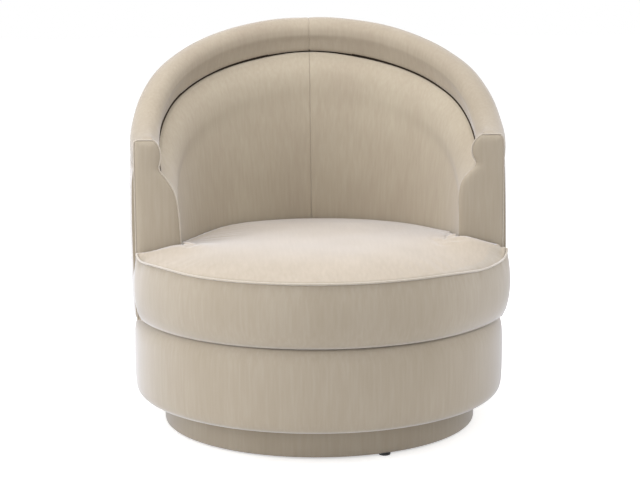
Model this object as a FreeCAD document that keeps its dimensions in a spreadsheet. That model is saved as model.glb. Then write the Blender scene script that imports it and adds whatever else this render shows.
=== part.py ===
import FreeCAD, Part
import math
import os
import Sketcher

V = FreeCAD.Vector
UP = V(0, 0, 1)

# The swivel chair stands on the floor at z = 0, turns about Z and faces -Y.
# Driving dimensions: lengths in millimetres, angles in degrees, shares and counts.
DIMENSIONS = {
    # The whole chair: the tub's outer radius, and the rim's height at the back and at the arms
    "shell_radius": 395,
    "rim_back_height": 842,
    "rim_arm_height": 614,
    # Floor glides
    "glide_height": 5,
    "glide_radius": 12,
    "glide_edge": 1,
    "glide_inset": 30,
    "glide_count": 4,
    "front_glide_inset": 8,
    "front_glide_angle": 21.2,
    # Plinth
    "plinth_recess": 63,
    "plinth_frame_height": 53,
    "plinth_board": 15,
    "plinth_wall": 12,
    "plinth_ring_width": 72,
    "plinth_cover_wall": 3,
    "block_side": 40,
    "block_count": 4,
    "hem_thickness": 1,
    "hem_width": 12,
    "cloth_thickness": 0.8,
    "cloth_margin": 2,
    # Swivel
    "swivel_height": 12,
    "swivel_plate_side": 200,
    "swivel_plate_thickness": 2.5,
    "swivel_plate_corner": 12,
    "ball_radius": 3.8,
    "ball_ring_radius": 80,
    "ball_count": 24,
    "bearing_gap": 0.3,
    "cage_thickness": 2,
    "cage_width": 14,
    "hub_radius": 21,
    "hub_bore": 16,
    "hub_gap": 0.5,
    "hub_flange_width": 6,
    "hub_flange_thickness": 2,
    "hub_room": 3,
    "screw_head_radius": 4.5,
    "screw_head_height": 2,
    "screw_radius": 2.2,
    "screw_length": 12,
    "screw_inset": 14,
    # Drum
    "drum_clearance": 6.5,
    "drum_height": 169,
    "drum_belly": 3,
    "drum_bottom_round": 26,
    "drum_top_round": 34,
    "drum_top_inset": 14,
    "drum_cover_wall": 3,
    "drum_hem_width": 12,
    "drum_frame_inset": 35,
    "drum_wall": 8,
    "drum_board": 15,
    "drum_ring_width": 130,
    "drum_ring_thickness": 22,
    "rebate_width": 32,
    "rebate_depth": 8,
    "upright_depth": 24,
    "upright_width": 50,
    "upright_count": 4,
    "webbing_width": 60,
    "webbing_thickness": 1.5,
    "webbing_pitch": 85,
    "webbing_margin": 4,
    "webbing_count": 3,
    "deck_border": 2.5,
    "deck_gap": 0.5,
    "dust_cover_inner": 146,
    "dust_cover_thickness": 1.2,
    # Tub frame
    "outer_cover_wall": 7,
    "outer_board": 4,
    "outer_foot_tuck": 26,
    "outer_head_tuck": 12,
    "frame_gap": 0.4,
    "frame_depth": 43,
    "frame_half_angle": 99,
    "base_rib_thickness": 18,
    "top_rail_thickness": 20,
    "post_width": 28,
    "post_count": 5,
    "post_spread": 144,
    "arm_post_width": 34,
    "arm_post_gap": 1,
    "arm_post_depth": 28,
    # Rim roll
    "roll_inset": 1.5,
    "roll_back_width": 72,
    "roll_arm_width": 64,
    "roll_shoulder": 30,
    "roll_back_depth": 77,
    "roll_arm_depth": 62,
    "roll_tuck": 16,
    "roll_belly": 1.5,
    # Inner back pad
    "pad_gap": 1,
    "pad_crease_gap": 2.5,
    "pad_shoulder_depth": 87,
    "pad_shoulder_drop": 48,
    "pad_waist_rise": 27,
    # Arm fronts
    "arm_front": 100,
    "facing_thickness": 10,
    "facing_edge_inset": 1.5,
    "facing_outer_round": 22,
    "facing_top_width": 36,
    "facing_inner_round": 25,
    "facing_hook_inset": 55,
    "facing_seam_fall": 47,
    "facing_seam_inset": 88.6,
    "facing_foot_inset": 91.6,
    "piping_radius": 2.2,
    # Seat cushion
    "cushion_gap": 0.3,
    "cushion_height": 130.2,
    "cushion_welt_inset": 3,
    "cushion_belly": 12,
    "cushion_belly_rise": 65,
    "cushion_bottom_inset": 26,
    "cushion_crown": 34,
    "cushion_shoulder_inset": 62,
    "cushion_shoulder_rise": 20,
    "cushion_shoulder_round": 145,
    "cushion_rear_inset": 104,
    "cushion_rear_shift": 29,
    "cushion_rear_draw": 5,
    "cushion_back_gap": 4,
    "cushion_ear_gap": 1,
    "cushion_boxing": 12,
    "cushion_panel": 2,
    "welt_radius": 2,
    "zip_thickness": 1.2,
    "zip_width": 8,
    "zip_rise": 60,
    "zip_spread": 100,
}

# How far the rim has risen from the arm height to the back height, by the angle from the back
RIM_ANGLES = (0, 11, 22, 33, 44, 55, 66, 77, 88, 99, 110)
RIM_RISE_SHARES = (1, 0.984, 0.939, 0.87, 0.785, 0.676, 0.544, 0.367, 0.167, 0.044, 0)

# How near an arc's middle comes to the corner it rounds, and how full the inner back is
ROUND_SHARE = 0.414
PAD_BULGE_SHARE = 0.12

HALF_WAY = 0.5
FULL_TURN = 360
PARALLEL_TOLERANCE = 1e-6

doc = FreeCAD.newDocument("SwivelChair")
sheet = doc.addObject("Spreadsheet::Sheet", "Sizes")


class Size:
    """A number of the sheet, or one worked out from it, with its expression."""

    def __init__(self, text, value):
        self.text = text
        self.value = value

    def __add__(self, other):
        return Size(f"({self.text} + {other.text})", self.value + other.value)

    def __sub__(self, other):
        return Size(f"({self.text} - {other.text})", self.value - other.value)

    def __mul__(self, other):
        return Size(f"({self.text} * {other.text})", self.value * other.value)

    def __neg__(self):
        return Size(f"(-{self.text})", -self.value)


def half(size):
    return Size(f"({size.text} / 2)", size.value / 2)


def double(size):
    return Size(f"({size.text} * 2)", size.value * 2)


def side_of(longest, other):
    """The third side of a right triangle, from its longest side and another."""
    squares = longest * longest - other * other
    return Size(f"sqrt({squares.text})", math.sqrt(squares.value))


def tangent_radius(across, along):
    """The radius of an arc that starts straight and ends this far across and along."""
    squares = across * across + along * along
    twice = double(across)
    return Size(f"({squares.text} / {twice.text})", squares.value / twice.value)


class Dimensions:
    """The sheet's values as attributes, each a Size."""

    def __init__(self, values):
        for row, (name, value) in enumerate(values.items(), 1):
            sheet.set(f"A{row}", name)
            sheet.set(f"B{row}", str(value))
            sheet.setAlias(f"B{row}", name)
            setattr(self, name, Size(f"Sizes.{name}", value))


d = Dimensions(DIMENSIONS)
doc.recompute()
ZERO = Size("0", 0)


# Sketches, bodies and primitives bound to the sheet

def new_body(label):
    body = doc.addObject("PartDesign::Body", label)
    body.Label = label
    return body


def new_sketch(body, role):
    sketch = body.newObject("Sketcher::SketchObject", body.Name + "_sketch")
    plane = next(item for item in body.Origin.OriginFeatures if item.Role == role)
    sketch.AttachmentSupport = [(plane, "")]
    sketch.MapMode = "FlatFace"
    return sketch


def pin(sketch, edge, end, across, along):
    """Tie a point of the sketch to two sizes measured from the sketch's origin."""
    for kind, axis, size in (("DistanceX", -2, across), ("DistanceY", -1, along)):
        if size.text == ZERO.text:
            sketch.addConstraint(Sketcher.Constraint("PointOnObject", edge, end, axis))
        else:
            row = sketch.addConstraint(Sketcher.Constraint(kind, -1, 1, edge, end, size.value))
            sketch.setExpression(f"Constraints[{row}]", size.text)


def arc_edge(start, end, radius, side):
    """An arc of under half a circle that bulges to the right (1) or left (-1) of its travel."""
    chord = end - start
    to_centre = math.sqrt(radius ** 2 - chord.Length ** 2 / 4)
    right = V(chord.y, -chord.x, 0).normalize()
    centre = (start + end) / 2 - right * (side * to_centre)
    angles = [math.atan2(point.y - centre.y, point.x - centre.x) for point in (start, end)]
    if side < 0:
        angles.reverse()
    if angles[1] < angles[0]:
        angles[1] += 2 * math.pi
    return Part.ArcOfCircle(Part.Circle(centre, UP, radius), angles[0], angles[1])


def outline(sketch, corners, bends):
    """Close an outline through the corners. A bend gives an edge a radius and a side."""
    points = [V(across.value, along.value, 0) for across, along in corners]
    ends = []
    for number, start in enumerate(points):
        end = points[(number + 1) % len(points)]
        if number in bends:
            radius, side = bends[number]
            edge = sketch.addGeometry(arc_edge(start, end, radius.value, side), False)
            row = sketch.addConstraint(Sketcher.Constraint("Radius", edge, radius.value))
            sketch.setExpression(f"Constraints[{row}]", radius.text)
            ends.append((edge, 1, 2) if side > 0 else (edge, 2, 1))
        else:
            edge = sketch.addGeometry(Part.LineSegment(start, end), False)
            ends.append((edge, 1, 2))
    for number, (edge, first, last) in enumerate(ends):
        following = ends[(number + 1) % len(ends)]
        sketch.addConstraint(Sketcher.Constraint("Coincident", edge, last, following[0], following[1]))
        pin(sketch, edge, first, corners[number][0], corners[number][1])


def circle(sketch, across, along, radius):
    edge = sketch.addGeometry(Part.Circle(V(across.value, along.value, 0), UP, radius.value), False)
    pin(sketch, edge, 3, across, along)
    row = sketch.addConstraint(Sketcher.Constraint("Radius", edge, radius.value))
    sketch.setExpression(f"Constraints[{row}]", radius.text)


def turn_sketch(body, sketch, kind="Revolution"):
    """Turn a sketch about its upright axis, to add to the body or to cut from it."""
    turned = body.newObject("PartDesign::" + kind, f"{body.Name}_{kind.lower()}")
    turned.Profile = sketch
    turned.ReferenceAxis = (sketch, ["V_Axis"])
    body.Tip = turned
    return turned


def revolved(label, corners, bends=None, spread=None):
    """Turn an outline of (radius, height) corners about Z, or over a spread centred on +Y."""
    body = new_body(label)
    sketch = new_sketch(body, "YZ_Plane")
    outline(sketch, corners, bends or {})
    turned = turn_sketch(body, sketch)
    if spread:
        turned.Midplane = True
        turned.setExpression("Angle", spread.text)
    return body


def ring(label, inner, outer, bottom, top, spread=None):
    corners = [(inner, bottom), (outer, bottom), (outer, top), (inner, top)]
    return revolved(label, corners, spread=spread)


def disc(label, radius, bottom, top):
    solid = doc.addObject("Part::Cylinder", label)
    solid.Label = label
    solid.setExpression("Radius", radius.text)
    solid.setExpression("Height", (top - bottom).text)
    solid.setExpression("Placement.Base.z", bottom.text)
    return solid


def block(label, lengths, corner):
    """A box from its three lengths and the place of its low corner."""
    solid = doc.addObject("Part::Box", label)
    solid.Label = label
    for name, length in zip(("Length", "Width", "Height"), lengths):
        solid.setExpression(name, length.text)
    for name, place in zip("xyz", corner):
        solid.setExpression(f"Placement.Base.{name}", place.text)
    return solid


def boolean(kind, label, base, tool):
    solid = doc.addObject(f"Part::{kind}", label)
    solid.Label = label
    solid.Base = base
    solid.Tool = tool
    return solid


def spoke_angle(place, count):
    """The angle of one of the spokes that lie halfway between the axes."""
    return (place + HALF_WAY) * FULL_TURN / count


def spoke(label, lengths, reach, bottom, angle):
    """A box across a spoke, its near face at the reach from the axis."""
    forward = Size(f"cos({angle})", math.cos(math.radians(angle)))
    sideways = Size(f"sin({angle})", math.sin(math.radians(angle)))
    shift = half(lengths[1])
    corner = (reach * forward + shift * sideways, reach * sideways - shift * forward, bottom)
    solid = block(label, lengths, corner)
    solid.Placement.Rotation = FreeCAD.Rotation(UP, angle)
    return solid


def compound(label, items):
    group = doc.addObject("Part::Compound", label)
    group.Label = label
    group.Links = items
    return group


def fixed_shape(label, shape):
    item = doc.addObject("Part::Feature", label)
    item.Label = label
    item.Shape = shape
    return item


def bore_holes(body, places, radius, depth, upwards):
    """Cut round holes from the body's XY plane, up or down, at the given places."""
    sketch = new_sketch(body, "XY_Plane")
    for across, along in places:
        circle(sketch, across, along, radius)
    pocket = body.newObject("PartDesign::Pocket", body.Name + "_holes")
    pocket.Profile = sketch
    pocket.setExpression("Length", depth.text)
    pocket.Reversed = upwards
    body.Tip = pocket


PARTS = []


def keep(*items):
    PARTS.extend(items)
    return items[0]


# Heights and radii that several pieces share, from the floor up

frame_bottom = d.glide_height
cover_bottom = frame_bottom - d.hem_thickness
plinth_top = frame_bottom + d.plinth_frame_height
cover_top = plinth_top + d.hem_thickness
swivel_top = plinth_top + d.swivel_height
drum_bottom = cover_top + d.drum_clearance
drum_top = drum_bottom + d.drum_height
cushion_bottom = drum_top + d.cushion_gap
cushion_belly_height = cushion_bottom + d.cushion_belly_rise
cushion_welt_height = cushion_bottom + d.cushion_height

plinth_radius = d.shell_radius - d.plinth_recess
drum_frame_radius = d.shell_radius - d.drum_frame_inset
cushion_welt_radius = d.shell_radius - d.cushion_welt_inset
cushion_belly_radius = cushion_welt_radius + d.cushion_belly
cushion_bottom_radius = cushion_belly_radius - d.cushion_bottom_inset
cushion_rear_radius = d.shell_radius - d.cushion_rear_inset


# Floor glides: three well inside, and the front right one near the edge, seated on the hem


def glide(number, inset, height):
    edge = d.glide_edge
    corners = [
        (ZERO, ZERO),
        (d.glide_radius - edge, ZERO),
        (d.glide_radius, edge),
        (d.glide_radius, height),
        (ZERO, height),
    ]
    body = revolved(f"floor_glide_{number + 1}", corners)
    angle = math.radians(d.front_glide_angle.value + number * FULL_TURN / d.glide_count.value)
    reach = (plinth_radius - inset).value
    body.Placement.Base = V(reach * math.sin(angle), -reach * math.cos(angle), 0)
    return body


keep(glide(0, d.front_glide_inset, cover_bottom))
for place in range(1, d.glide_count.value):
    keep(glide(place, d.glide_inset, d.glide_height))


# Plinth: a bottom ring, a bent wall, four blocks and a top board inside a velvet cover

plinth_frame_radius = plinth_radius - d.plinth_cover_wall
plinth_wall_inner = plinth_frame_radius - d.plinth_wall
plinth_ring_top = frame_bottom + d.plinth_board
plinth_board_bottom = plinth_top - d.plinth_board
cloth_radius = plinth_radius - d.glide_inset - d.glide_radius - d.cloth_margin

keep(disc("plinth_underside_cloth", cloth_radius, frame_bottom - d.cloth_thickness, frame_bottom))
keep(ring("plinth_bottom_ring", plinth_frame_radius - d.plinth_ring_width, plinth_frame_radius,
          frame_bottom, plinth_ring_top))
keep(ring("plinth_wall", plinth_wall_inner, plinth_frame_radius, plinth_ring_top,
          plinth_board_bottom))

block_reach = side_of(plinth_wall_inner, half(d.block_side)) - d.block_side
block_lengths = (d.block_side, d.block_side, plinth_board_bottom - plinth_ring_top)
plinth_blocks = []
for place in range(d.block_count.value):
    angle = spoke_angle(place, d.block_count.value)
    plinth_blocks.append(spoke(f"plinth_block_{place + 1}", block_lengths, block_reach,
                               plinth_ring_top, angle))
keep(compound("plinth_blocks", plinth_blocks))

hem_inner = plinth_frame_radius - d.hem_width
keep(revolved("plinth_cover", [
    (hem_inner, cover_bottom),
    (plinth_radius - d.plinth_cover_wall, cover_bottom),
    (plinth_radius, cover_bottom + d.plinth_cover_wall),
    (plinth_radius, cover_top - d.plinth_cover_wall),
    (plinth_radius - d.plinth_cover_wall, cover_top),
    (hem_inner, cover_top),
    (hem_inner, plinth_top),
    (plinth_frame_radius, plinth_top),
    (plinth_frame_radius, frame_bottom),
    (hem_inner, frame_bottom),
], {1: (d.plinth_cover_wall, 1), 3: (d.plinth_cover_wall, 1)}))


# Swivel: two square plates with a ball race between them, held together by a flanged hub

upper_plate_bottom = swivel_top - d.swivel_plate_thickness
lower_plate_top = plinth_top + d.swivel_plate_thickness
race_height = plinth_top + half(d.swivel_height)
race_radius = d.ball_radius + d.bearing_gap
plate_half = half(d.swivel_plate_side)
screw_reach = plate_half - d.screw_inset
SCREW_PLACES = [(screw_reach, screw_reach), (-screw_reach, screw_reach),
                (-screw_reach, -screw_reach), (screw_reach, -screw_reach)]


def swivel_plate(label, bottom, hole):
    body = new_body(label)
    body.setExpression("Placement.Base.z", bottom.text)
    sketch = new_sketch(body, "XY_Plane")
    outline(sketch, [(-plate_half, -plate_half), (plate_half, -plate_half),
                     (plate_half, plate_half), (-plate_half, plate_half)], {})
    pad = body.newObject("PartDesign::Pad", label + "_pad")
    pad.Profile = sketch
    pad.setExpression("Length", d.swivel_plate_thickness.text)
    body.Tip = pad
    doc.recompute()
    upright = [f"Edge{number}" for number, edge in enumerate(pad.Shape.Edges, 1)
               if edge.tangentAt(edge.FirstParameter).isParallel(UP, PARALLEL_TOLERANCE)]
    fillet = body.newObject("PartDesign::Fillet", label + "_corners")
    fillet.Base = (pad, upright)
    fillet.setExpression("Radius", d.swivel_plate_corner.text)
    body.Tip = fillet
    doc.recompute()
    bore_holes(body, [(ZERO, ZERO)], hole, d.swivel_plate_thickness, True)
    bore_holes(body, SCREW_PLACES, d.screw_radius, d.swivel_plate_thickness, True)
    doc.recompute()
    race = new_sketch(body, "YZ_Plane")
    circle(race, d.ball_ring_radius, race_height - bottom, race_radius)
    turn_sketch(body, race, "Groove")
    return body


def swivel_screws(label, seat, heads_up):
    """Four screws; their heads lie on the seat and their shanks go through the plate."""
    way = 1 if heads_up else -1
    head = Part.makeCylinder(d.screw_head_radius.value, d.screw_head_height.value,
                             V(0, 0, seat.value), UP * way)
    shank = Part.makeCylinder(d.screw_radius.value, d.screw_length.value,
                              V(0, 0, seat.value), UP * -way)
    screw = head.fuse(shank)
    copies = []
    for across, along in SCREW_PLACES:
        copy = screw.copy()
        copy.translate(V(across.value, along.value, 0))
        copies.append(copy)
    return fixed_shape(label, Part.makeCompound(copies))


keep(swivel_plate("swivel_lower_plate", plinth_top, d.hub_radius))
keep(swivel_plate("swivel_upper_plate", upper_plate_bottom, d.hub_radius + d.hub_gap))
keep(swivel_screws("swivel_lower_screws", lower_plate_top, True))
keep(swivel_screws("swivel_upper_screws", upper_plate_bottom, False))

pilot_depth = d.screw_length - d.swivel_plate_thickness
top_board = new_body("plinth_top_board")
top_board.setExpression("Placement.Base.z", plinth_top.text)
board_sketch = new_sketch(top_board, "XY_Plane")
circle(board_sketch, ZERO, ZERO, plinth_frame_radius)
board_pad = top_board.newObject("PartDesign::Pad", "plinth_top_board_pad")
board_pad.Profile = board_sketch
board_pad.Reversed = True
board_pad.setExpression("Length", d.plinth_board.text)
top_board.Tip = board_pad
doc.recompute()
bore_holes(top_board, SCREW_PLACES, d.screw_radius, pilot_depth, False)
keep(top_board)

flange_bottom = swivel_top + d.bearing_gap
flange_top = flange_bottom + d.hub_flange_thickness
flange_radius = d.hub_radius + d.hub_flange_width
keep(revolved("swivel_hub", [
    (d.hub_bore, plinth_top),
    (d.hub_radius, plinth_top),
    (d.hub_radius, flange_bottom),
    (flange_radius, flange_bottom),
    (flange_radius, flange_top),
    (d.hub_bore, flange_top),
]))

balls = []
cage = Part.makeCylinder((d.ball_ring_radius + half(d.cage_width)).value, d.cage_thickness.value,
                         V(0, 0, (race_height - half(d.cage_thickness)).value))
cage = cage.cut(Part.makeCylinder((d.ball_ring_radius - half(d.cage_width)).value,
                                  plinth_top.value, V(0, 0, plinth_top.value)))
for place in range(d.ball_count.value):
    angle = 2 * math.pi * place / d.ball_count.value
    centre = V(math.cos(angle), math.sin(angle), 0) * d.ball_ring_radius.value
    centre.z = race_height.value
    balls.append(Part.makeSphere(d.ball_radius.value, centre))
    cage = cage.cut(Part.makeSphere(race_radius.value, centre))
keep(fixed_shape("swivel_balls", Part.makeCompound(balls)))
keep(fixed_shape("swivel_ball_cage", cage))


# Drum: base board, uprights, bent wall and top ring, with webbing and a deck in the ring

frame_top = drum_top - d.deck_border
base_board_top = swivel_top + d.drum_board
drum_inner = drum_frame_radius - d.drum_ring_width
rebate_radius = drum_inner + d.rebate_width
drum_ring_bottom = frame_top - d.drum_ring_thickness
webbing_bottom = frame_top - d.rebate_depth
drum_wall_radius = drum_frame_radius + d.drum_wall

base_board = ring("drum_base_board", flange_radius + d.hub_room, drum_frame_radius, swivel_top,
                  base_board_top)
doc.recompute()
bore_holes(base_board, SCREW_PLACES, d.screw_radius, swivel_top + pilot_depth, True)
keep(base_board)

upright_reach = side_of(drum_frame_radius, half(d.upright_width)) - d.upright_depth
upright_lengths = (d.upright_depth, d.upright_width, drum_ring_bottom - base_board_top)
for place in range(d.upright_count.value):
    angle = spoke_angle(place, d.upright_count.value)
    keep(spoke(f"drum_upright_{place + 1}", upright_lengths, upright_reach, base_board_top, angle))

drum_wall_top = drum_top - d.drum_cover_wall
keep(ring("drum_wall", drum_frame_radius, drum_wall_radius, swivel_top, drum_wall_top))
keep(revolved("drum_top_ring", [
    (drum_inner, drum_ring_bottom),
    (drum_frame_radius, drum_ring_bottom),
    (drum_frame_radius, frame_top),
    (rebate_radius, frame_top),
    (rebate_radius, webbing_bottom),
    (drum_inner, webbing_bottom),
]))


def webbing(label, lengthwise, bottom):
    """Straps side by side across the ring's rebate, each as long as the rebate is there."""
    straps = []
    for place in range(d.webbing_count.value):
        shift = place - (d.webbing_count.value - 1) / 2
        offset = Size(f"(Sizes.webbing_pitch * {shift})", d.webbing_pitch.value * shift)
        far = Size(f"(Sizes.webbing_pitch * {abs(shift)})", d.webbing_pitch.value * abs(shift))
        reach = side_of(rebate_radius, far + half(d.webbing_width)) - d.webbing_margin
        low_side = offset - half(d.webbing_width)
        if lengthwise:
            lengths = (d.webbing_width, double(reach), d.webbing_thickness)
            corner = (low_side, -reach, bottom)
        else:
            lengths = (double(reach), d.webbing_width, d.webbing_thickness)
            corner = (-reach, low_side, bottom)
        straps.append(block(f"{label}_{place + 1}", lengths, corner))
    return compound(label, straps)


deck_bottom = webbing_bottom + double(d.webbing_thickness)
keep(webbing("seat_webbing_lengthwise", True, webbing_bottom))
keep(webbing("seat_webbing_crosswise", False, webbing_bottom + d.webbing_thickness))
keep(disc("deck_pad", rebate_radius - d.deck_gap, deck_bottom, drum_top))
keep(ring("deck_border", rebate_radius, drum_frame_radius, frame_top, drum_top))

# The cover wraps the foam from the underside of the board to the top of the wall

drum_side = d.shell_radius - d.drum_belly
round_rise = side_of(d.drum_top_round, d.drum_top_round - d.drum_top_inset)
side_low = drum_bottom + d.drum_bottom_round
side_high = drum_top - round_rise
side_radius = tangent_radius(d.drum_belly, half(side_high - side_low))
hem_radius = drum_side - d.drum_bottom_round - d.drum_hem_width
foam_hem_radius = hem_radius + d.drum_cover_wall
foam_bottom_round = d.drum_bottom_round - d.drum_cover_wall


def drum_skin(hem, inset, rim):
    """The outer line of the drum, drawn in by the inset, from the hem up to its rim."""
    return [
        (hem, drum_bottom + inset),
        (drum_side - d.drum_bottom_round, drum_bottom + inset),
        (drum_side - inset, side_low),
        (drum_side - inset, side_high),
        (drum_side - d.drum_top_inset - inset, drum_top - inset),
        (rim, drum_top - inset),
    ]


keep(revolved("drum_foam", drum_skin(foam_hem_radius, d.drum_cover_wall, drum_wall_radius) + [
    (drum_wall_radius, swivel_top),
    (foam_hem_radius, swivel_top),
], {1: (foam_bottom_round, 1), 2: (side_radius, 1), 3: (d.drum_top_round, 1)}))

cover_back = drum_skin(foam_hem_radius, d.drum_cover_wall, drum_frame_radius)
cover_back.reverse()
keep(revolved("drum_cover", drum_skin(hem_radius, ZERO, drum_frame_radius) + cover_back + [
    (foam_hem_radius, swivel_top),
    (hem_radius, swivel_top),
], {
    1: (d.drum_bottom_round, 1),
    2: (side_radius, 1),
    3: (d.drum_top_round, 1),
    7: (d.drum_top_round, -1),
    8: (side_radius, -1),
    9: (foam_bottom_round, -1),
}))
keep(ring("drum_dust_cover", d.dust_cover_inner, hem_radius, swivel_top - d.dust_cover_thickness,
          swivel_top))


# The tub follows the sloping rim, so its long pieces are lofts through upright sections

def between(at_arm, at_back, rise_share):
    """A size that changes from the arm to the back as the rim rises."""
    return at_arm.value + rise_share * (at_back - at_arm).value


def rim_top(rise_share):
    return between(d.rim_arm_height, d.rim_back_height, rise_share)


def roll_foot(rise_share):
    return rim_top(rise_share) - between(d.roll_arm_depth, d.roll_back_depth, rise_share)


def section_wire(angle, start, steps):
    """An upright section at an angle from the back. A step is an end, or a middle and an end."""
    away = math.radians(angle)

    def place(point):
        return V(point[0] * math.sin(away), point[0] * math.cos(away), point[1])

    edges = []
    here = place(start)
    for step in steps:
        there = place(step[-1])
        if len(step) == 1:
            edges.append(Part.makeLine(here, there))
        else:
            edges.append(Part.Arc(here, place(step[0]), there).toShape())
        here = there
    return Part.Wire(edges)


def rim_loft(section):
    """Loft section(angle, rise_share) round the rim from side to side."""
    stations = list(zip(RIM_ANGLES, RIM_RISE_SHARES))
    stations = [(-angle, share) for angle, share in reversed(stations[1:])] + stations
    wires = []
    for angle, share in stations:
        start, steps = section(angle, share)
        wires.append(section_wire(angle, start, steps))
    return Part.makeLoft(wires, True, False)


def box_section(inner, outer, bottom, drop):
    """A plain section between two radii, from a height up to a drop below the roll."""
    def section(angle, rise_share):
        high = roll_foot(rise_share) - drop.value
        corner = (inner.value, bottom.value)
        return corner, [((outer.value, bottom.value),), ((outer.value, high),),
                        ((inner.value, high),), (corner,)]
    return section


def rounded(start, corner, end):
    """The middle point of an arc that rounds a corner off."""
    return tuple((a + b) / 2 * (1 - ROUND_SHARE) + c * ROUND_SHARE
                 for a, b, c in zip(start, end, corner))


def cover_section(angle, rise_share):
    """The outer back cover: rounded in at its foot and where it meets the roll."""
    inner, outer = (board_outer + d.frame_gap).value, d.shell_radius.value
    low, high = drum_top.value, roll_foot(rise_share)
    foot, shin = (inner, low), (outer, low + d.outer_foot_tuck.value)
    chest, head = (outer, high - d.outer_head_tuck.value), (inner, high)
    return foot, [(rounded(foot, (outer, low), shin), shin), (chest,),
                  (rounded(chest, (outer, high), head), head), (foot,)]


def roll_section(angle, rise_share):
    """The rim roll: rounded over the top, drawn in to the crease above the inner back."""
    outer = roll_outer.value
    inner = outer - between(d.roll_arm_width, d.roll_back_width, rise_share)
    top, low = rim_top(rise_share), roll_foot(rise_share)
    shoulder = top - d.roll_shoulder.value
    crease = (roll_crease.value, low)
    belly = (inner + d.roll_belly.value, (shoulder + low) / 2)
    return (outer, low), [((outer, shoulder),), (((outer + inner) / 2, top), (inner, shoulder)),
                          (belly, crease), ((outer, low),)]


def seat_radius(angle):
    """Where the inner back stands, just clear of the round rear of the cushion."""
    away = math.radians(angle)
    shift = d.cushion_rear_shift.value
    reach = (cushion_rear_radius + d.cushion_back_gap).value
    return math.sqrt(reach ** 2 - (shift * math.sin(away)) ** 2) - shift * math.cos(away)


def pad_section(angle, rise_share):
    """The inner back: full just under the crease, then a gentle curve down to the seat."""
    back, low = pad_back.value, drum_top.value
    high = roll_foot(rise_share) - d.pad_gap.value
    crease = ((roll_crease - d.pad_crease_gap).value, high)
    shoulder = ((d.shell_radius - d.pad_shoulder_depth).value, high - d.pad_shoulder_drop.value)
    waist = (seat_radius(angle), (cushion_welt_height + d.pad_waist_rise).value)
    fullness = PAD_BULGE_SHARE * (shoulder[0] - waist[0])
    middle = ((shoulder[0] + waist[0]) / 2 - fullness, (shoulder[1] + waist[1]) / 2)
    over = rounded(crease, (shoulder[0], high), shoulder)
    return (back, low), [((back, high),), (crease,), (over, shoulder), (middle, waist),
                         ((waist[0], low),), ((back, low),)]


def behind_facing(shape):
    """Cut away what would stand in front of the back of the arm facings."""
    reach = double(d.shell_radius).value
    tall = double(d.rim_back_height).value
    corner = V(-d.shell_radius.value, -reach - facing_back.value, 0)
    return shape.cut(Part.makeBox(reach, reach, tall, corner))


def mirrored(label, source):
    item = doc.addObject("Part::Mirroring", label)
    item.Label = label
    item.Source = source
    item.Normal = V(1, 0, 0)
    return item


facing_back = d.arm_front - d.facing_thickness
board_outer = d.shell_radius - d.outer_cover_wall
frame_outer = board_outer - d.outer_board
frame_inner = frame_outer - d.frame_depth
pad_back = frame_inner - d.pad_gap
rib_top = drum_top + d.base_rib_thickness
roll_outer = d.shell_radius - d.roll_inset
roll_crease = roll_outer - d.roll_back_width + d.roll_tuck

keep(ring("tub_base_rib", frame_inner, frame_outer, drum_top, rib_top,
          double(d.frame_half_angle)))


def frame_sector(radius):
    """A tall round block of some radius, over the frame's share of a turn."""
    sector = Part.makeCylinder(radius.value, d.rim_back_height.value, V(0, 0, 0), UP,
                               double(d.frame_half_angle).value)
    sector.rotate(V(0, 0, 0), UP, FULL_TURN / 4 - d.frame_half_angle.value)
    return sector


def frame_below(drop):
    """The frame's ring, from the base rib up to a drop below the roll."""
    inner, outer = frame_inner - d.frame_gap, frame_outer + d.frame_gap
    return frame_ring.common(rim_loft(box_section(inner, outer, rib_top, drop)))


frame_ring = frame_sector(frame_outer).cut(frame_sector(frame_inner))


post_room = frame_below(d.frame_gap + d.top_rail_thickness)
keep(fixed_shape("tub_top_rail", frame_below(d.frame_gap).cut(post_room)))

for place in range(d.post_count.value):
    angle = d.post_spread.value * (place / (d.post_count.value - 1) - HALF_WAY)
    tall = Part.makeBox(d.post_width.value, d.shell_radius.value, d.rim_back_height.value,
                        V(-half(d.post_width).value, 0, 0))
    tall.rotate(V(0, 0, 0), UP, angle)
    keep(fixed_shape(f"tub_post_{place + 1}", post_room.common(tall)))

arm_post_outer = side_of(frame_outer, facing_back) - d.arm_post_gap
arm_post = block(
    "arm_post_right",
    (d.arm_post_width, d.arm_post_depth, d.rim_arm_height - d.roll_arm_depth - drum_top),
    (arm_post_outer - d.arm_post_width, -facing_back, drum_top))
keep(arm_post)
keep(mirrored("arm_post_left", arm_post))

keep(fixed_shape("outer_back_board", behind_facing(rim_loft(
    box_section(frame_outer + d.frame_gap, board_outer, drum_top, d.frame_gap)))))
keep(fixed_shape("outer_back_cover", behind_facing(rim_loft(cover_section))))

right_side = Part.makeBox(d.shell_radius.value, double(d.shell_radius).value,
                          double(d.rim_back_height).value, V(0, -d.shell_radius.value, 0))
for label, section in (("inner_back", pad_section), ("rim_roll", roll_section)):
    piece = behind_facing(rim_loft(section)).common(right_side)
    right = keep(fixed_shape(label + "_right", piece))
    keep(mirrored(label + "_left", right))


# Arm fronts: a flat padded facing with piping round its edge

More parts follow.
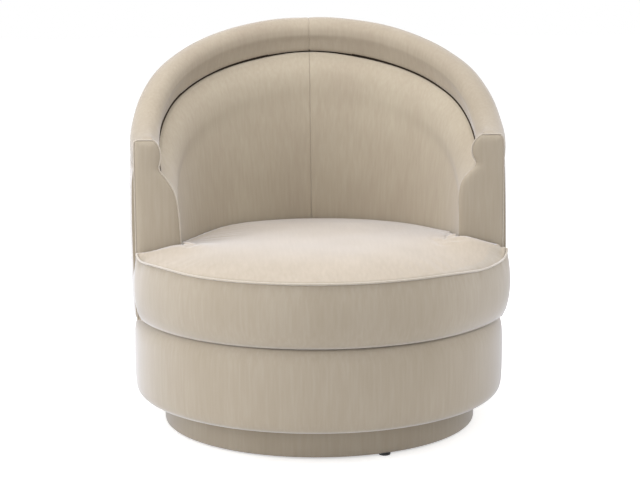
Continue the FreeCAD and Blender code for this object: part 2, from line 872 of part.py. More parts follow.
facing_outer = side_of(d.shell_radius, d.arm_front) - d.facing_edge_inset
facing_inner = facing_outer - d.facing_top_width - d.facing_inner_round
facing_hook = facing_outer - d.facing_hook_inset
facing_seam = facing_outer - d.facing_seam_inset
facing_foot = facing_outer - d.facing_foot_inset
facing_shoulder = d.rim_arm_height - d.facing_inner_round
facing_hook_height = d.rim_arm_height - d.roll_arm_depth
facing_corners = [
    (facing_foot, drum_top),
    (facing_outer, drum_top),
    (facing_outer, d.rim_arm_height - d.facing_outer_round),
    (facing_outer - d.facing_outer_round, d.rim_arm_height),
    (facing_outer - d.facing_top_width, d.rim_arm_height),
    (facing_inner, facing_shoulder),
    (facing_hook, facing_hook_height),
    (facing_seam, facing_hook_height - d.facing_seam_fall),
]
facing_bends = {
    2: (d.facing_outer_round, 1),
    4: (d.facing_inner_round, 1),
    5: (tangent_radius(facing_hook - facing_inner, facing_shoulder - facing_hook_height), 1),
    6: (tangent_radius(facing_hook - facing_seam, d.facing_seam_fall), 1),
}

facing = new_body("arm_facing_right")
facing.setExpression("Placement.Base.y", (-facing_back).text)
facing_sketch = new_sketch(facing, "XZ_Plane")
outline(facing_sketch, facing_corners, facing_bends)
facing_pad = facing.newObject("PartDesign::Pad", "arm_facing_pad")
facing_pad.Profile = facing_sketch
facing_pad.setExpression("Length", d.facing_thickness.text)
facing.Tip = facing_pad
doc.recompute()
keep(facing)
keep(mirrored("arm_facing_left", facing))


def piping(numbers):
    """A round piping along some edges of the facing's outline, on its front."""
    def place(point):
        return V(point.x, -d.arm_front.value, point.y)

    points = [V(across.value, along.value, 0) for across, along in facing_corners]
    edges = []
    for number in numbers:
        start = points[number]
        end = points[(number + 1) % len(points)]
        if number in facing_bends:
            radius, side = facing_bends[number]
            arc = arc_edge(start, end, radius.value, side)
            middle = arc.value((arc.FirstParameter + arc.LastParameter) / 2)
            edges.append(Part.Arc(place(start), place(middle), place(end)).toShape())
        else:
            edges.append(Part.makeLine(place(start), place(end)))
    path = Part.Wire(edges)
    first = edges[0]
    section = Part.makeCircle(d.piping_radius.value, first.valueAt(first.FirstParameter),
                              first.tangentAt(first.FirstParameter))
    return path.makePipeShell([Part.Wire([section])], True, False)


right_piping = piping([1, 2, 3, 4, 5]).fuse(piping([6, 7])).cut(facing.Shape)
right_piping = keep(fixed_shape("arm_piping_right", right_piping))
keep(mirrored("arm_piping_left", right_piping))


# Seat cushion: a round front and a round rear, joined across the front of the arms

ear_plane = d.arm_front + d.piping_radius + d.cushion_ear_gap
rear_side = cushion_rear_radius - d.cushion_rear_draw


def shifted_back(item):
    item.setExpression("Placement.Base.y", (-d.cushion_rear_shift).text)
    return item


def in_front_of(label, item, plane, bottom, top):
    """Keep what lies in front of a plane, between two heights."""
    reach = cushion_belly_radius
    space = block(label + "_space", (double(reach), reach, top - bottom), (-reach, -plane - reach, bottom))
    return boolean("Common", label, item, space)


def t_shape(label, front_radius, rear_radius, plane, bottom, top):
    """An upright T-shaped block: a round front beyond the plane and a round rear."""
    front = in_front_of(label + "_front", disc(label + "_round", front_radius, bottom, top),
                        plane, bottom, top)
    rear = shifted_back(disc(label + "_rear", rear_radius, bottom, top))
    return boolean("Fuse", label, front, rear)


ear_angle = math.degrees(math.acos(ear_plane.value / cushion_welt_radius.value))
welt_body = new_body("cushion_welt")
welt_sketch = new_sketch(welt_body, "YZ_Plane")
circle(welt_sketch, cushion_welt_radius, cushion_welt_height, d.welt_radius)
welt_turn = turn_sketch(welt_body, welt_sketch)
welt_turn.Midplane = True
welt_turn.Angle = 2 * ear_angle
welt_body.Placement.Rotation = FreeCAD.Rotation(UP, FULL_TURN / 2)
welt = keep(welt_body)

front_form = revolved("cushion_front_form", [
    (ZERO, cushion_bottom),
    (cushion_bottom_radius, cushion_bottom),
    (cushion_belly_radius, cushion_belly_height),
    (cushion_welt_radius, cushion_welt_height),
    (ZERO, cushion_welt_height),
], {
    1: (tangent_radius(cushion_belly_radius - cushion_bottom_radius,
                       cushion_belly_height - cushion_bottom), 1),
    2: (tangent_radius(cushion_belly_radius - cushion_welt_radius,
                       cushion_welt_height - cushion_belly_height), 1),
})
rear_form = shifted_back(revolved("cushion_rear_form", [
    (ZERO, cushion_bottom),
    (rear_side, cushion_bottom),
    (rear_side, cushion_welt_height),
    (ZERO, cushion_welt_height),
], {1: (tangent_radius(d.cushion_rear_draw, half(d.cushion_height)), 1)}))
cushion_form = boolean("Fuse", "cushion_form",
                       in_front_of("cushion_front_half", front_form, ear_plane, cushion_bottom,
                                   cushion_welt_height), rear_form)

inside = (cushion_bottom_radius - d.cushion_boxing, rear_side - d.cushion_boxing,
          ear_plane + d.cushion_boxing)
panel_top = cushion_bottom + d.cushion_panel
cushion_room = t_shape("cushion_room", *inside, cushion_bottom, cushion_welt_height)
cushion_boxing = boolean("Cut", "cushion_boxing", cushion_form, cushion_room)
keep(boolean("Cut", "cushion_side_band", cushion_boxing, welt))
keep(t_shape("cushion_bottom_panel", *inside, cushion_bottom, panel_top))
keep(t_shape("cushion_foam_core", *inside, panel_top, cushion_welt_height))

crown_top = cushion_welt_height + d.cushion_crown
shoulder_radius = cushion_welt_radius - d.cushion_shoulder_inset
shoulder_fall = d.cushion_crown - d.cushion_shoulder_rise
dome = revolved("cushion_dome", [
    (ZERO, cushion_welt_height),
    (cushion_welt_radius, cushion_welt_height),
    (shoulder_radius, cushion_welt_height + d.cushion_shoulder_rise),
    (ZERO, crown_top),
], {
    1: (d.cushion_shoulder_round, 1),
    2: (tangent_radius(shoulder_fall, shoulder_radius), 1),
})
crown_room = t_shape("cushion_crown_room", cushion_welt_radius, rear_side, ear_plane,
                     cushion_welt_height, crown_top)
crown_form = boolean("Common", "cushion_crown_form", dome, crown_room)
keep(boolean("Cut", "cushion_crown", crown_form, welt))

zip_bottom = cushion_bottom + d.zip_rise
keep(shifted_back(ring("cushion_zip", cushion_rear_radius, cushion_rear_radius + d.zip_thickness,
                       zip_bottom, zip_bottom + d.zip_width, d.zip_spread)))

doc.recompute()

for item in doc.Objects:
    if "Invalid" in item.State or "Error" in item.State:
        raise RuntimeError(f"{item.Label} failed: {item.State}")
for item in PARTS:
    if item.Shape.isNull() or not item.Shape.isValid():
        raise RuntimeError(f"{item.Label} has no valid shape")

os.makedirs("parts", exist_ok=True)
for item in PARTS:
    item.Shape.exportStep(f"parts/{item.Label}.step")
print(len(PARTS), "sub-parts written")
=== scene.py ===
# %% [markdown]
# # A velvet swivel tub chair
# A round chair on a low recessed plinth. A drum and a tub stand on a ball-bearing swivel, and a
# loose T-shaped cushion lies on the drum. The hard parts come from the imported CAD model. Blender
# gives the chair its upholstery, its finishes, its light and its camera.

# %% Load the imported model
import math
import bpy
import numpy as np
from mathutils import Matrix, Vector, noise


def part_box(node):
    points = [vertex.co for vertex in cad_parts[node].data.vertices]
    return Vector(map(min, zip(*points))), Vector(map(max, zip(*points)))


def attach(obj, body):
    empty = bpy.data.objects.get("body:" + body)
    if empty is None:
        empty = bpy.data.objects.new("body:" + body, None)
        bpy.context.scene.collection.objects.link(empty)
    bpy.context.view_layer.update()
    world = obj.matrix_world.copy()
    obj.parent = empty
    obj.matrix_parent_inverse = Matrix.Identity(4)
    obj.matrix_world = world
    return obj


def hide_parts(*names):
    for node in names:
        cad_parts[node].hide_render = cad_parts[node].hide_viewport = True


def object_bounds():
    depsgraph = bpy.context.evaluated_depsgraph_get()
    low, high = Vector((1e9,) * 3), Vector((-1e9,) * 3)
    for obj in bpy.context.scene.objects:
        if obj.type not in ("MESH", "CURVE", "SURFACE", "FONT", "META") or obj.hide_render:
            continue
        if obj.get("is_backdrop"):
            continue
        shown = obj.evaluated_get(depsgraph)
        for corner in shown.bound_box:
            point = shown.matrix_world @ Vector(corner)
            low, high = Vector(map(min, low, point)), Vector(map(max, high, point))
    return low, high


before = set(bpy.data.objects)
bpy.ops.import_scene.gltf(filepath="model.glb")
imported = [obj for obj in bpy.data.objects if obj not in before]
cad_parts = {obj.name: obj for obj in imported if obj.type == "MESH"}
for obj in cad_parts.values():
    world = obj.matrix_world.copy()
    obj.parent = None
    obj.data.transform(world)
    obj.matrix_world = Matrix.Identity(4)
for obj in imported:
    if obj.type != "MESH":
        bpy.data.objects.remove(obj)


def box_of_the_object():
    bpy.context.view_layer.update()
    lowest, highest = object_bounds()
    return [list(lowest), list(highest)]


cad_box = box_of_the_object()
print("CAD nodes:", len(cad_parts), "box:", cad_box)

# %% [markdown]
# The camera stands where the photographer stood: 3.5 m in front and a little to the left, at eye
# height for a seated person, looking slightly down. A long lens keeps the chair's upright lines
# nearly parallel. The picture is rolled by a third of a degree, as the photograph is.

# %% Camera
eye = Vector((-0.14307, -3.49708, 1.0003))
forward = Vector((0.04124, 0.9839, -0.17391)).normalized()
level_right = forward.cross(Vector((0, 0, 1))).normalized()
level_up = level_right.cross(forward)
camera_roll = 0.0058
camera_right = math.cos(camera_roll) * level_right - math.sin(camera_roll) * level_up
camera_up = math.sin(camera_roll) * level_right + math.cos(camera_roll) * level_up

bpy.ops.object.camera_add()
camera = bpy.context.object
camera.name = "photo_camera"
camera.matrix_world = Matrix((
    (camera_right.x, camera_up.x, -forward.x, eye.x),
    (camera_right.y, camera_up.y, -forward.y, eye.y),
    (camera_right.z, camera_up.z, -forward.z, eye.z),
    (0, 0, 0, 1),
))
camera.data.sensor_width = 36
camera.data.lens = 93.83
bpy.context.scene.camera = camera
print("camera at", tuple(round(x, 3) for x in eye))

# %% [markdown]
# Operators act on whatever is selected, so each step starts with nothing selected. These small
# helpers pick one piece, sew its edges shut in edit mode and finish its shape.

# %% Helpers for modelling by hand


def deselect():
    if bpy.context.object and bpy.context.object.mode != "OBJECT":
        bpy.ops.object.mode_set(mode="OBJECT")
    bpy.ops.object.select_all(action="DESELECT")


def pick(piece):
    deselect()
    piece.select_set(True)
    bpy.context.view_layer.objects.active = piece


def sew_shut(piece, reach=0.00005):
    """Merge the edges that meet, fill the open ends and turn all faces outwards."""
    pick(piece)
    bpy.ops.object.mode_set(mode="EDIT")
    bpy.ops.mesh.select_mode(type="VERT")
    bpy.ops.mesh.select_all(action="SELECT")
    bpy.ops.mesh.remove_doubles(threshold=reach)
    bpy.ops.mesh.select_all(action="SELECT")
    bpy.ops.mesh.fill_holes(sides=0)
    bpy.ops.mesh.select_all(action="SELECT")
    bpy.ops.mesh.normals_make_consistent(inside=False)
    bpy.ops.object.mode_set(mode="OBJECT")


def finish_shape(piece, angle=50):
    pick(piece)
    bpy.ops.object.shade_smooth_by_angle(angle=math.radians(angle))
    for modifier in list(piece.modifiers):
        bpy.ops.object.modifier_apply(modifier=modifier.name)
    piece.data.update()
    print(piece.name, len(piece.data.polygons), "faces")
    return piece


# %% [markdown]
# The chair's main sizes, in metres. The tub is a cylinder about the Z axis, its front cut off at
# the arm fronts. Its rim is low along the arms and rises to the back, and one table gives that
# rise by the angle from the back. An angle is negative on the left, and the arms end at 104.

# %% Sizes of the upholstery
SHELL = 0.395
RIM_AT_ARM, RIM_AT_BACK = 0.614, 0.842
RIM_ANGLES = (0, 11, 22, 33, 44, 55, 66, 77, 88, 99, 110)
RIM_RISE = (0.984, 0.976, 0.941, 0.878, 0.789, 0.676, 0.544, 0.367, 0.167, 0.044, 0)
ARM_ANGLE = 104
TUB_FOOT = 0.2352
WELT_HEIGHT = 0.365
ARM_BACK = 0.0900
ARM_FRONT = 0.1000
SEAM_X = -0.0045
SIDES = ((-1, "left"), (1, "right"))


def between(p, q, start, end, at):
    """The point at a knot value on the line from p, which stands at start, to q, at end."""
    return ((end - at) * p + (at - start) * q) / (end - start)


def running_length(line):
    """How far along a line each of its points is."""
    return np.concatenate([[0], np.cumsum(np.linalg.norm(np.diff(line, axis=0), axis=1))])


def smooth_line(points, count):
    """A smooth line through points (Catmull-Rom), as a number of evenly spaced points."""
    line = np.array(points, float)
    ends = np.vstack([2 * line[0] - line[1], line, 2 * line[-1] - line[-2]])
    steps = np.linspace(0, 1, 12, endpoint=False)[:, None]
    fine = []
    for a, b, c, e in zip(ends, ends[1:], ends[2:], ends[3:]):
        gaps = [max(np.linalg.norm(q - p), 1e-6) ** 0.5 for p, q in ((a, b), (b, c), (c, e))]
        first, second, third = np.cumsum(gaps)
        at = first + steps * (second - first)
        ab = between(a, b, 0, first, at)
        bc = between(b, c, first, second, at)
        ce = between(c, e, second, third, at)
        fine.append(between(between(ab, bc, 0, second, at), between(bc, ce, first, third, at),
                            first, second, at))
    fine = np.vstack(fine + [line[-1:]])
    run = running_length(fine)
    places = np.linspace(0, run[-1], count)
    return np.stack([np.interp(places, run, fine[:, k]) for k in range(line.shape[1])], 1)


RISE_LINE = smooth_line([(-RIM_ANGLES[1], RIM_RISE[1])] + list(zip(RIM_ANGLES, RIM_RISE)), 600)


def rise(angle):
    """How far the rim has risen, from 0 at the arms to 1 at the back."""
    return float(np.interp(abs(angle), RISE_LINE[:, 0], RISE_LINE[:, 1]))


def rim_top(angle):
    return RIM_AT_ARM + rise(angle) * (RIM_AT_BACK - RIM_AT_ARM)


def roll_foot(angle):
    """The height of the crease under the roll, which is thinner where it is sewn at the back."""
    thinner = 0.006 * math.exp(-(angle / 16) ** 2)
    return rim_top(angle) - (0.063 + 0.020 * rise(angle)) + thinner


print("rim", round(rim_top(0), 3), "at the back and", round(rim_top(105), 3), "at the arms")

# %% [markdown]
# The arm fronts are flat, and everything that ends there meets their outline: the roll above, the
# inner back beside and the outer back behind. So the outline comes first, as (height, distance
# from the middle) up the inner and the outer edge. The crease under the roll makes a notch in the
# inner edge. The two arms aren't quite alike: the left one is a little lower and softer.

# %% The outline of the arm fronts
FACING_INNER = {
    "right": [(TUB_FOOT, 0.2885), (0.423, 0.2885), (0.505, 0.290), (0.524, 0.297),
              (0.541, 0.312), (0.552, 0.3225), (0.560, 0.3222), (0.570, 0.3165), (0.582, 0.3140),
              (0.592, 0.3150), (0.602, 0.3195), (0.611, 0.3275), (0.6158, 0.336)],
    "left": [(TUB_FOOT, 0.2885), (0.405, 0.2885), (0.490, 0.296), (0.516, 0.3065),
             (0.534, 0.319), (0.548, 0.3290), (0.557, 0.3295), (0.567, 0.3270), (0.577, 0.3262),
             (0.588, 0.3268), (0.597, 0.3295), (0.605, 0.334), (0.6105, 0.341)],
}
FACING_OUTER = [(TUB_FOOT, 0.3806), (0.590, 0.3806), (0.603, 0.3803), (0.609, 0.3785)]
FACING_TOP = {"right": 0.6158, "left": 0.6105}
inner_edges = {word: smooth_line(FACING_INNER[word], 400) for word in FACING_INNER}


def arm_front_radius(word, height):
    """How far from the chair's axis the inner edge of an arm front is, at a height."""
    edge = inner_edges[word]
    return math.hypot(float(np.interp(height, edge[:, 0], edge[:, 1])), ARM_BACK)


print("notch of the right arm at radius", round(arm_front_radius("right", 0.556), 4))

# %% [markdown]
# Upholstery is cloth laid on a form and sewn. Each padded piece of the tub starts as a grid, like
# a length of cloth, and every vertex of the grid is laid on the form: across the grid the cloth
# runs round the chair, and up the grid it runs round the pad's section. Then its edges are sewn.
# A grid keeps the faces in neat rows along the seams, which a sculpted blob doesn't.

# %% Lay a length of cloth on a form


def lay_cloth(name, places):
    """Add a grid with one vertex for each place. places has rows, columns and X, Y, Z."""
    rows, columns = places.shape[:2]
    deselect()
    bpy.ops.mesh.primitive_grid_add(x_subdivisions=columns - 1, y_subdivisions=rows - 1, size=1)
    cloth = bpy.context.object
    cloth.name = cloth.data.name = name
    cloth.data.vertices.foreach_set("co", places.reshape(-1).astype(np.float32))
    cloth.data.update()
    return cloth


def ripple(place, size, seed):
    """Soft unevenness of hand-pulled cloth, between about -1 and 1."""
    return noise.noise(Vector(place) / size + Vector((seed, seed * 1.7, seed * 2.3)))


TUB_RUN = 0.65
DENSE_RUN = 0.03


def tub_columns():
    """Where the columns stand, from the back seam to the arm front: dense at the seam."""
    close = np.linspace(0, 1, 14) ** 1.5 * DENSE_RUN
    rest = np.linspace(DENSE_RUN, TUB_RUN, 86)[1:]
    return np.concatenate([close, rest]) / TUB_RUN


def span(radius, side):
    """The angles from the back, towards one side, at which a pad starts and ends."""
    start = math.degrees(math.asin(SEAM_X / radius)) * side
    end = 90 + math.degrees(math.asin(ARM_BACK / radius))
    return start, end


def round_out(word, radius, height, to_front, meets, deepest):
    """Bring a pad's inner side to the arm front's outline in a long soft curve."""
    if height > FACING_TOP[word]:
        near = max(0.0, 1 - to_front / 0.024)
        height += (FACING_TOP[word] + 0.0012 - height) * (1 - math.sqrt(1 - near ** 2))
    if radius < meets:
        near = max(0.0, 1 - to_front / 0.085)
        radius += (min(arm_front_radius(word, height), deepest) - radius) * near ** 2
    return radius, height


def tub_pad(name, side, section, sink, seed, ripples, meets=0, deepest=1):
    """A padded piece from the seam at the back centre round one side to the arm front.

    section(angle) gives its line as (radius, height), which is closed here; sink says how the
    seam draws it in. What lies nearer to the axis than meets ends in the arm front's outline.
    """
    columns = tub_columns()
    word = "left" if side < 0 else "right"
    places = np.zeros((len(section(0)) + 1, len(columns), 3))
    for column, share in enumerate(columns):
        from_seam = share * TUB_RUN
        angle = side * share * ARM_ANGLE
        line = section(angle)
        for row, (radius, height) in enumerate(np.vstack([line, line[:1]])):
            start, end = span(radius, side)
            away = math.radians(start + share * (end - start))
            place = (radius * math.sin(away) * side, radius * math.cos(away), height)
            lift = ripples * ripple(place, 0.09, seed) * min(1, from_seam / 0.02)
            if row in (0, len(line)):
                lift = 0
            radius, height = sink(radius, height, from_seam, lift, angle)
            radius, height = round_out(word, radius, height, TUB_RUN - from_seam, meets, deepest)
            places[row, column] = (radius * math.sin(away) * side, radius * math.cos(away), height)
    return lay_cloth(name, places)


print("helpers ready")

# %% [markdown]
# The rim roll is a fat tube of padding along the top of the tub. From the front it reads as a
# soft band with a dark crease beneath it. Its section is nearly flat outside, round over the top
# and tucked into the crease inside. The two halves are sewn together at the back centre, where
# the stitches draw the roll in.

# %% The rim roll


def cleft(angle):
    """How far the crease opens up into the roll: less at the back centre, where it is sewn."""
    return 0.0020 * (1 - 0.7 * math.exp(-(angle / 13) ** 2))


def roll_section(angle):
    share = rise(angle)
    top, foot = rim_top(angle), roll_foot(angle)
    outer = SHELL - 0.0012
    width = 0.062 + 0.010 * share
    if angle < 0:
        top -= 0.003 * (1 - share) + 0.0016 * math.sin(math.pi * min(1, -angle / 60))
        outer -= 0.0004 * (1 - share)
        width -= 0.002 * (1 - share)
    else:
        top += 0.002 * (1 - share)
    inner = outer - width
    middle, half_width = (outer + inner) / 2, (outer - inner) / 2
    shoulder = 0.031 + 0.007 * share
    line = [(0.3895, foot + 0.0006), (outer - 0.0012, foot + 0.004), (outer, foot + 0.013)]
    for step in range(0, 181, 20):
        turn = math.radians(step)
        line.append((middle + half_width * math.cos(turn), top - shoulder * (1 - math.sin(turn))))
    under = 0.0034 * share
    line += [(inner, top - shoulder - 0.002), (inner + 0.0014 + 0.6 * under, foot + 0.0270),
             (inner + 0.0030 + 0.8 * under, foot + 0.0160),
             (inner + 0.0050 + 0.6 * under, foot + 0.0080),
             (inner + 0.0080 + 0.3 * under, foot + 0.0026), (inner + 0.0115, foot + 0.0014),
             (inner + 0.0145, foot + 0.0012 + cleft(angle)),
             (max(0.3378, inner + 0.0175), foot + 0.0012 + cleft(angle))]
    return smooth_line(line, 64)


ROLL_HALF = 0.036


def roll_sink(radius, height, from_seam, lift, angle):
    """Shrink the roll's section towards its middle where the seam draws it in."""
    middle_radius, middle_height = SHELL - ROLL_HALF, roll_foot(angle) + ROLL_HALF
    drawn = 0.035 * math.exp(-from_seam / 0.0013) + 0.012 * math.exp(-from_seam / 0.012)
    grow = (1 + lift / ROLL_HALF) * (1 - drawn)
    return (middle_radius + (radius - middle_radius) * grow,
            middle_height + (height - middle_height) * grow)


velvet_pieces = []


def upholster(piece, body, fill, *nodes):
    """Say what a padded velvet piece rides on and which CAD nodes it stands for."""
    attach(piece, body)
    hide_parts(*nodes)
    velvet_pieces.append(piece)


for side, word in SIDES:
    roll = tub_pad(f"velvet_rim_roll_{word}", side, roll_section, roll_sink, 3.1 + side, 0.0007,
                   meets=0.362)
    sew_shut(roll)
    finish_shape(roll)
    upholster(roll, "upper", 0.85, f"rim_roll_{word}")

# %% [markdown]
# The inner back is one padded panel on each side of the seam. It is full just under the crease,
# then falls in a gentle curve to the seat, and goes on down behind the cushion to the deck, which
# shows when the cushion is lifted out. Seen from above it follows the round rear of the cushion.

# %% The inner back
PAD_BACK, PAD_INSIDE, PAD_LIMIT = 0.3392, 0.339, 0.3385
REAR_SHIFT = 0.029
SEAT_LINE = 0.392
UPPER_PART = 0.105
UNDER_ROLL = 0.0003


def seat_radius(angle):
    """Where the inner back stands: round the cushion's rear, whose centre is REAR_SHIFT ahead."""
    away = math.radians(angle)
    return (math.sqrt(0.295 ** 2 - (REAR_SHIFT * math.sin(away)) ** 2)
            - REAR_SHIFT * math.cos(away))


def back_section(angle):
    high = roll_foot(angle) - UNDER_ROLL
    waist = seat_radius(angle)
    shoulder = 0.2935 + 0.20 * (waist - 0.266)
    fall = high - UPPER_PART - SEAT_LINE
    gap = 1.1 * cleft(angle)
    line = [(0.3348, high - gap), (0.3316, high - gap), (0.3288, high - gap - 0.0010),
            (0.3262, high - 0.0070), (0.3222, high - 0.0130), (0.3160, high - 0.0225),
            (0.3086, high - 0.0355), (0.3022, high - 0.0530), (0.2968, high - 0.0780),
            (shoulder, high - UPPER_PART)]
    for step in (0.25, 0.5, 0.75):
        hollow = 0.004 * math.sin(math.pi * step) * fall / 0.3
        line.append((shoulder + (waist - shoulder) * step - hollow,
                     high - UPPER_PART - fall * step))
    line += [(waist, SEAT_LINE), (waist + 0.0006, 0.34), (waist + 0.0004, 0.28), (waist, TUB_FOOT)]
    front = smooth_line(line, 74)
    closed = high + 0.0010 + cleft(angle) + 0.0012 * (1 - rise(angle))
    back = [(PAD_BACK, height) for height in (TUB_FOOT, 0.3, high - 0.03, closed)]
    return np.vstack([front, back])


def back_sink(radius, height, from_seam, lift, angle):
    """Press the panel back where the seam draws it in; its hidden back stays flat."""
    if radius > PAD_INSIDE:
        return radius, height
    drawn = 0.0016 * math.exp(-from_seam / 0.0012) + 0.0012 * math.exp(-from_seam / 0.016)
    top = roll_foot(angle) - UNDER_ROLL
    gather = math.exp(-((top - height - 0.012) / 0.010) ** 2) * 0.0011
    gather *= ripple((math.radians(angle) * 0.32, 0, 0), 0.011, 2.7)
    from_top = min(1, max(0, (top - height) / 0.012))
    from_foot = min(1, max(0, (height - TUB_FOOT) / 0.03))
    return min(radius + (drawn + gather - lift) * (from_top * from_foot), PAD_LIMIT), height


for side, word in SIDES:
    panel = tub_pad(f"velvet_inner_back_{word}", side, back_section, back_sink, 7.3 + side, 0.0011,
                    meets=PAD_INSIDE, deepest=PAD_LIMIT)
    sew_shut(panel)
    finish_shape(panel)
    upholster(panel, "upper", 0.8, f"inner_back_{word}")

# %% [markdown]
# The outer back is thin padding and velvet stretched over a bent board. It is tucked under the
# roll at its head and rounded in at its foot, where it is drawn under the tub. Towards the left
# arm it is padded up to 2 mm fuller.

# %% The outer back


def outer_section(angle):
    head = roll_foot(angle)
    full = 0.0024 * min(1, max(0, (-angle - 45) / 40))
    line = [(0.3884, TUB_FOOT), (0.3920, 0.2362), (0.3942, 0.2410), (0.3950, 0.2500),
            (0.3960, 0.270), (0.3973, 0.310), (0.3977 + 0.3 * full, 0.370),
            (0.3971 + 0.7 * full, 0.430), (0.3954 + full, 0.500),
            (0.3948 + full, 0.25 + head / 2 - 0.008), (0.3942 + 0.5 * full, head - 0.018),
            (0.3936, head - 0.007), (0.3912, head - 0.0015), (0.3884, head)]
    return smooth_line(line, 60)


def outer_sink(radius, height, from_seam, lift, angle):
    if radius < 0.389:
        return radius, height
    return radius + min(lift, 0), height


outer_halves = [tub_pad(f"velvet_outer_back_{word}", side, outer_section, outer_sink,
                        11.9 + side, 0.0005) for side, word in SIDES]
deselect()
for half in outer_halves:
    half.select_set(True)
bpy.context.view_layer.objects.active = outer_halves[0]
bpy.ops.object.join()
outer_back = outer_halves[0]
outer_back.name = outer_back.data.name = "velvet_outer_back"
sew_shut(outer_back, 0.0004)
finish_shape(outer_back)
upholster(outer_back, "upper", 0.9, "outer_back_cover")

# %% [markdown]
# Each arm front is a flat board with a little padding under the velvet. The cloth is laid from
# the inner edge of the outline to the outer edge, row by row up the arm, and swells a few
# millimetres away from the seam. Its border is then extruded back to the board.

# %% The arm fronts


def facing_edges(word, count):
    """The inner and outer edge of a facing at each row, up to its flat top."""
    top = FACING_TOP[word]
    inner = inner_edges[word]
    outer = smooth_line(FACING_OUTER + [(top, 0.3735)], 400)
    heights = np.concatenate([np.linspace(TUB_FOOT, 0.5, count // 3, endpoint=False),
                              np.linspace(0.5, top, count - count // 3)])
    return [(z, float(np.interp(z, inner[:, 0], inner[:, 1])),
             float(np.interp(z, outer[:, 0], outer[:, 1]))) for z in heights]


facing_outlines = {}
for side, word in SIDES:
    rows = facing_edges(word, 90)
    facing_outlines[word] = rows
    across = 0.5 - 0.5 * np.cos(np.linspace(0, math.pi, 29))
    places = np.zeros((len(rows), len(across), 3))
    for row, (height, inner, outer) in enumerate(rows):
        for column, share in enumerate(across):
            x = inner + share * (outer - inner)
            edge = min(x - inner, outer - x, FACING_TOP[word] - height)
            swell = 0.0072 * (1 - math.exp(-max(edge, 0) / 0.0075))
            swell += 0.0005 * ripple((x, 0, height), 0.05, 17 + side) * min(1, edge / 0.01)
            places[row, column] = (side * x, -ARM_FRONT + 0.0066 - swell, height)
    facing = lay_cloth(f"velvet_arm_facing_{word}", places)
    pick(facing)
    bpy.ops.object.mode_set(mode="EDIT")
    bpy.ops.mesh.select_mode(type="VERT")
    bpy.ops.mesh.select_all(action="DESELECT")
    bpy.ops.mesh.select_non_manifold()
    bpy.ops.mesh.select_mode(type="EDGE")
    bpy.ops.mesh.extrude_region_move(TRANSFORM_OT_translate={"value": (0, 0.0030, 0)})
    bpy.ops.mesh.edge_face_add()
    bpy.ops.object.mode_set(mode="OBJECT")
    sew_shut(facing)
    finish_shape(facing)
    upholster(facing, "upper", 0.7, f"arm_facing_{word}")

# %% [markdown]
# Piping is a thin cord in a strip of velvet, sewn into the seam round each arm front. A curve
# with a round bevel follows the facing's outline; then it is made a mesh, because a piece of the
# model is a mesh with its own place. PIPING_ENDS says how far down the inner edge each one runs.

# %% The piping of the arm fronts
PIPING_PLANE = -ARM_FRONT + 0.0058
PIPING_ENDS = {"right": 0.557, "left": 0.24}


def piping(name, places, radius, closed=False):
    """A round piping through places."""
    deselect()
    bpy.ops.curve.primitive_nurbs_path_add()
    cord = bpy.context.object
    cord.name = name
    cord.data.splines.clear()
    line = cord.data.splines.new("NURBS")
    line.points.add(len(places) - 1)
    for point, place in zip(line.points, places):
        point.co = (*place, 1)
    line.order_u = 4
    line.use_endpoint_u = not closed
    line.use_cyclic_u = closed
    line.resolution_u = 3
    cord.data.bevel_depth = radius
    cord.data.bevel_resolution = 3
    cord.data.use_fill_caps = True
    bpy.ops.object.convert(target="MESH")
    cord = bpy.context.object
    cord.name = cord.data.name = name
    return cord


for side, word in SIDES:
    rows = facing_outlines[word]
    top = FACING_TOP[word]
    inner = [(x, z) for z, x, _ in rows if z > PIPING_ENDS[word]]
    outer = [(x, z) for z, _, x in rows]
    line = outer[::2] + [outer[-1]]
    line += [(outer[-1][0] + share * (inner[-1][0] - outer[-1][0]), top + 0.0004)
             for share in (0.12, 0.35, 0.65, 0.88)]
    line += [inner[-1]] + inner[::-2]
    places = [(side * x, PIPING_PLANE, z) for x, z in line]
    cord = piping(f"velvet_arm_piping_{word}", places, 0.0014)
    sew_shut(cord, 0.00001)
    finish_shape(cord, 60)
    upholster(cord, "upper", 1.0, f"arm_piping_{word}")

# %% [markdown]
# The loose seat cushion is T-shaped: its rear is round, and its front widens into two ears that
# lie in front of the arms. Its outline is drawn once, as a walk round the top seam, and each
# point of the walk knows how far the side swells there, how high the seam runs and how soon the
# crown begins. Averaging along the walk rounds the corners as a foam cushion's corners are. Each
# ear has its own width, fullness, peak at its tip and dip beside it. LEAN lists the soft hills of
# a cushion that has been sat on, as height, middle X, middle Y, width and depth.

# %% The cushion's outline
CUSHION_FOOT = TUB_FOOT
REAR_RADIUS, REAR_SEAM = 0.2905, 0.3865
EAR_PLANE, EAR_SEAM = 0.1048, 0.3790
WELT_RADIUS = 0.392
CROWN = 0.0345
HEART = (0.0, -0.20)
EARS = {"right": (0.0110, 1.05, 0.0175, -0.0075), "left": (0.0030, 1.02, 0.0145, 0.0045)}
LEAN = ((0.022, 0.292, -0.100, 0.050, 0.060), (0.006, 0.290, 0.010, 0.060, 0.060),
        (0.007, 0.360, -0.100, 0.035, 0.050), (0.012, -0.290, -0.095, 0.045, 0.060),
        (-0.013, -0.235, 0.055, 0.070, 0.100))


def lean(x, y):
    """How far the sat-on top stands above an even one: full at the ears, low at the rear."""
    return sum(height * math.exp(-((x - middle_x) / wide) ** 2 - ((y - middle_y) / deep) ** 2)
               for height, middle_x, middle_y, wide, deep in LEAN)


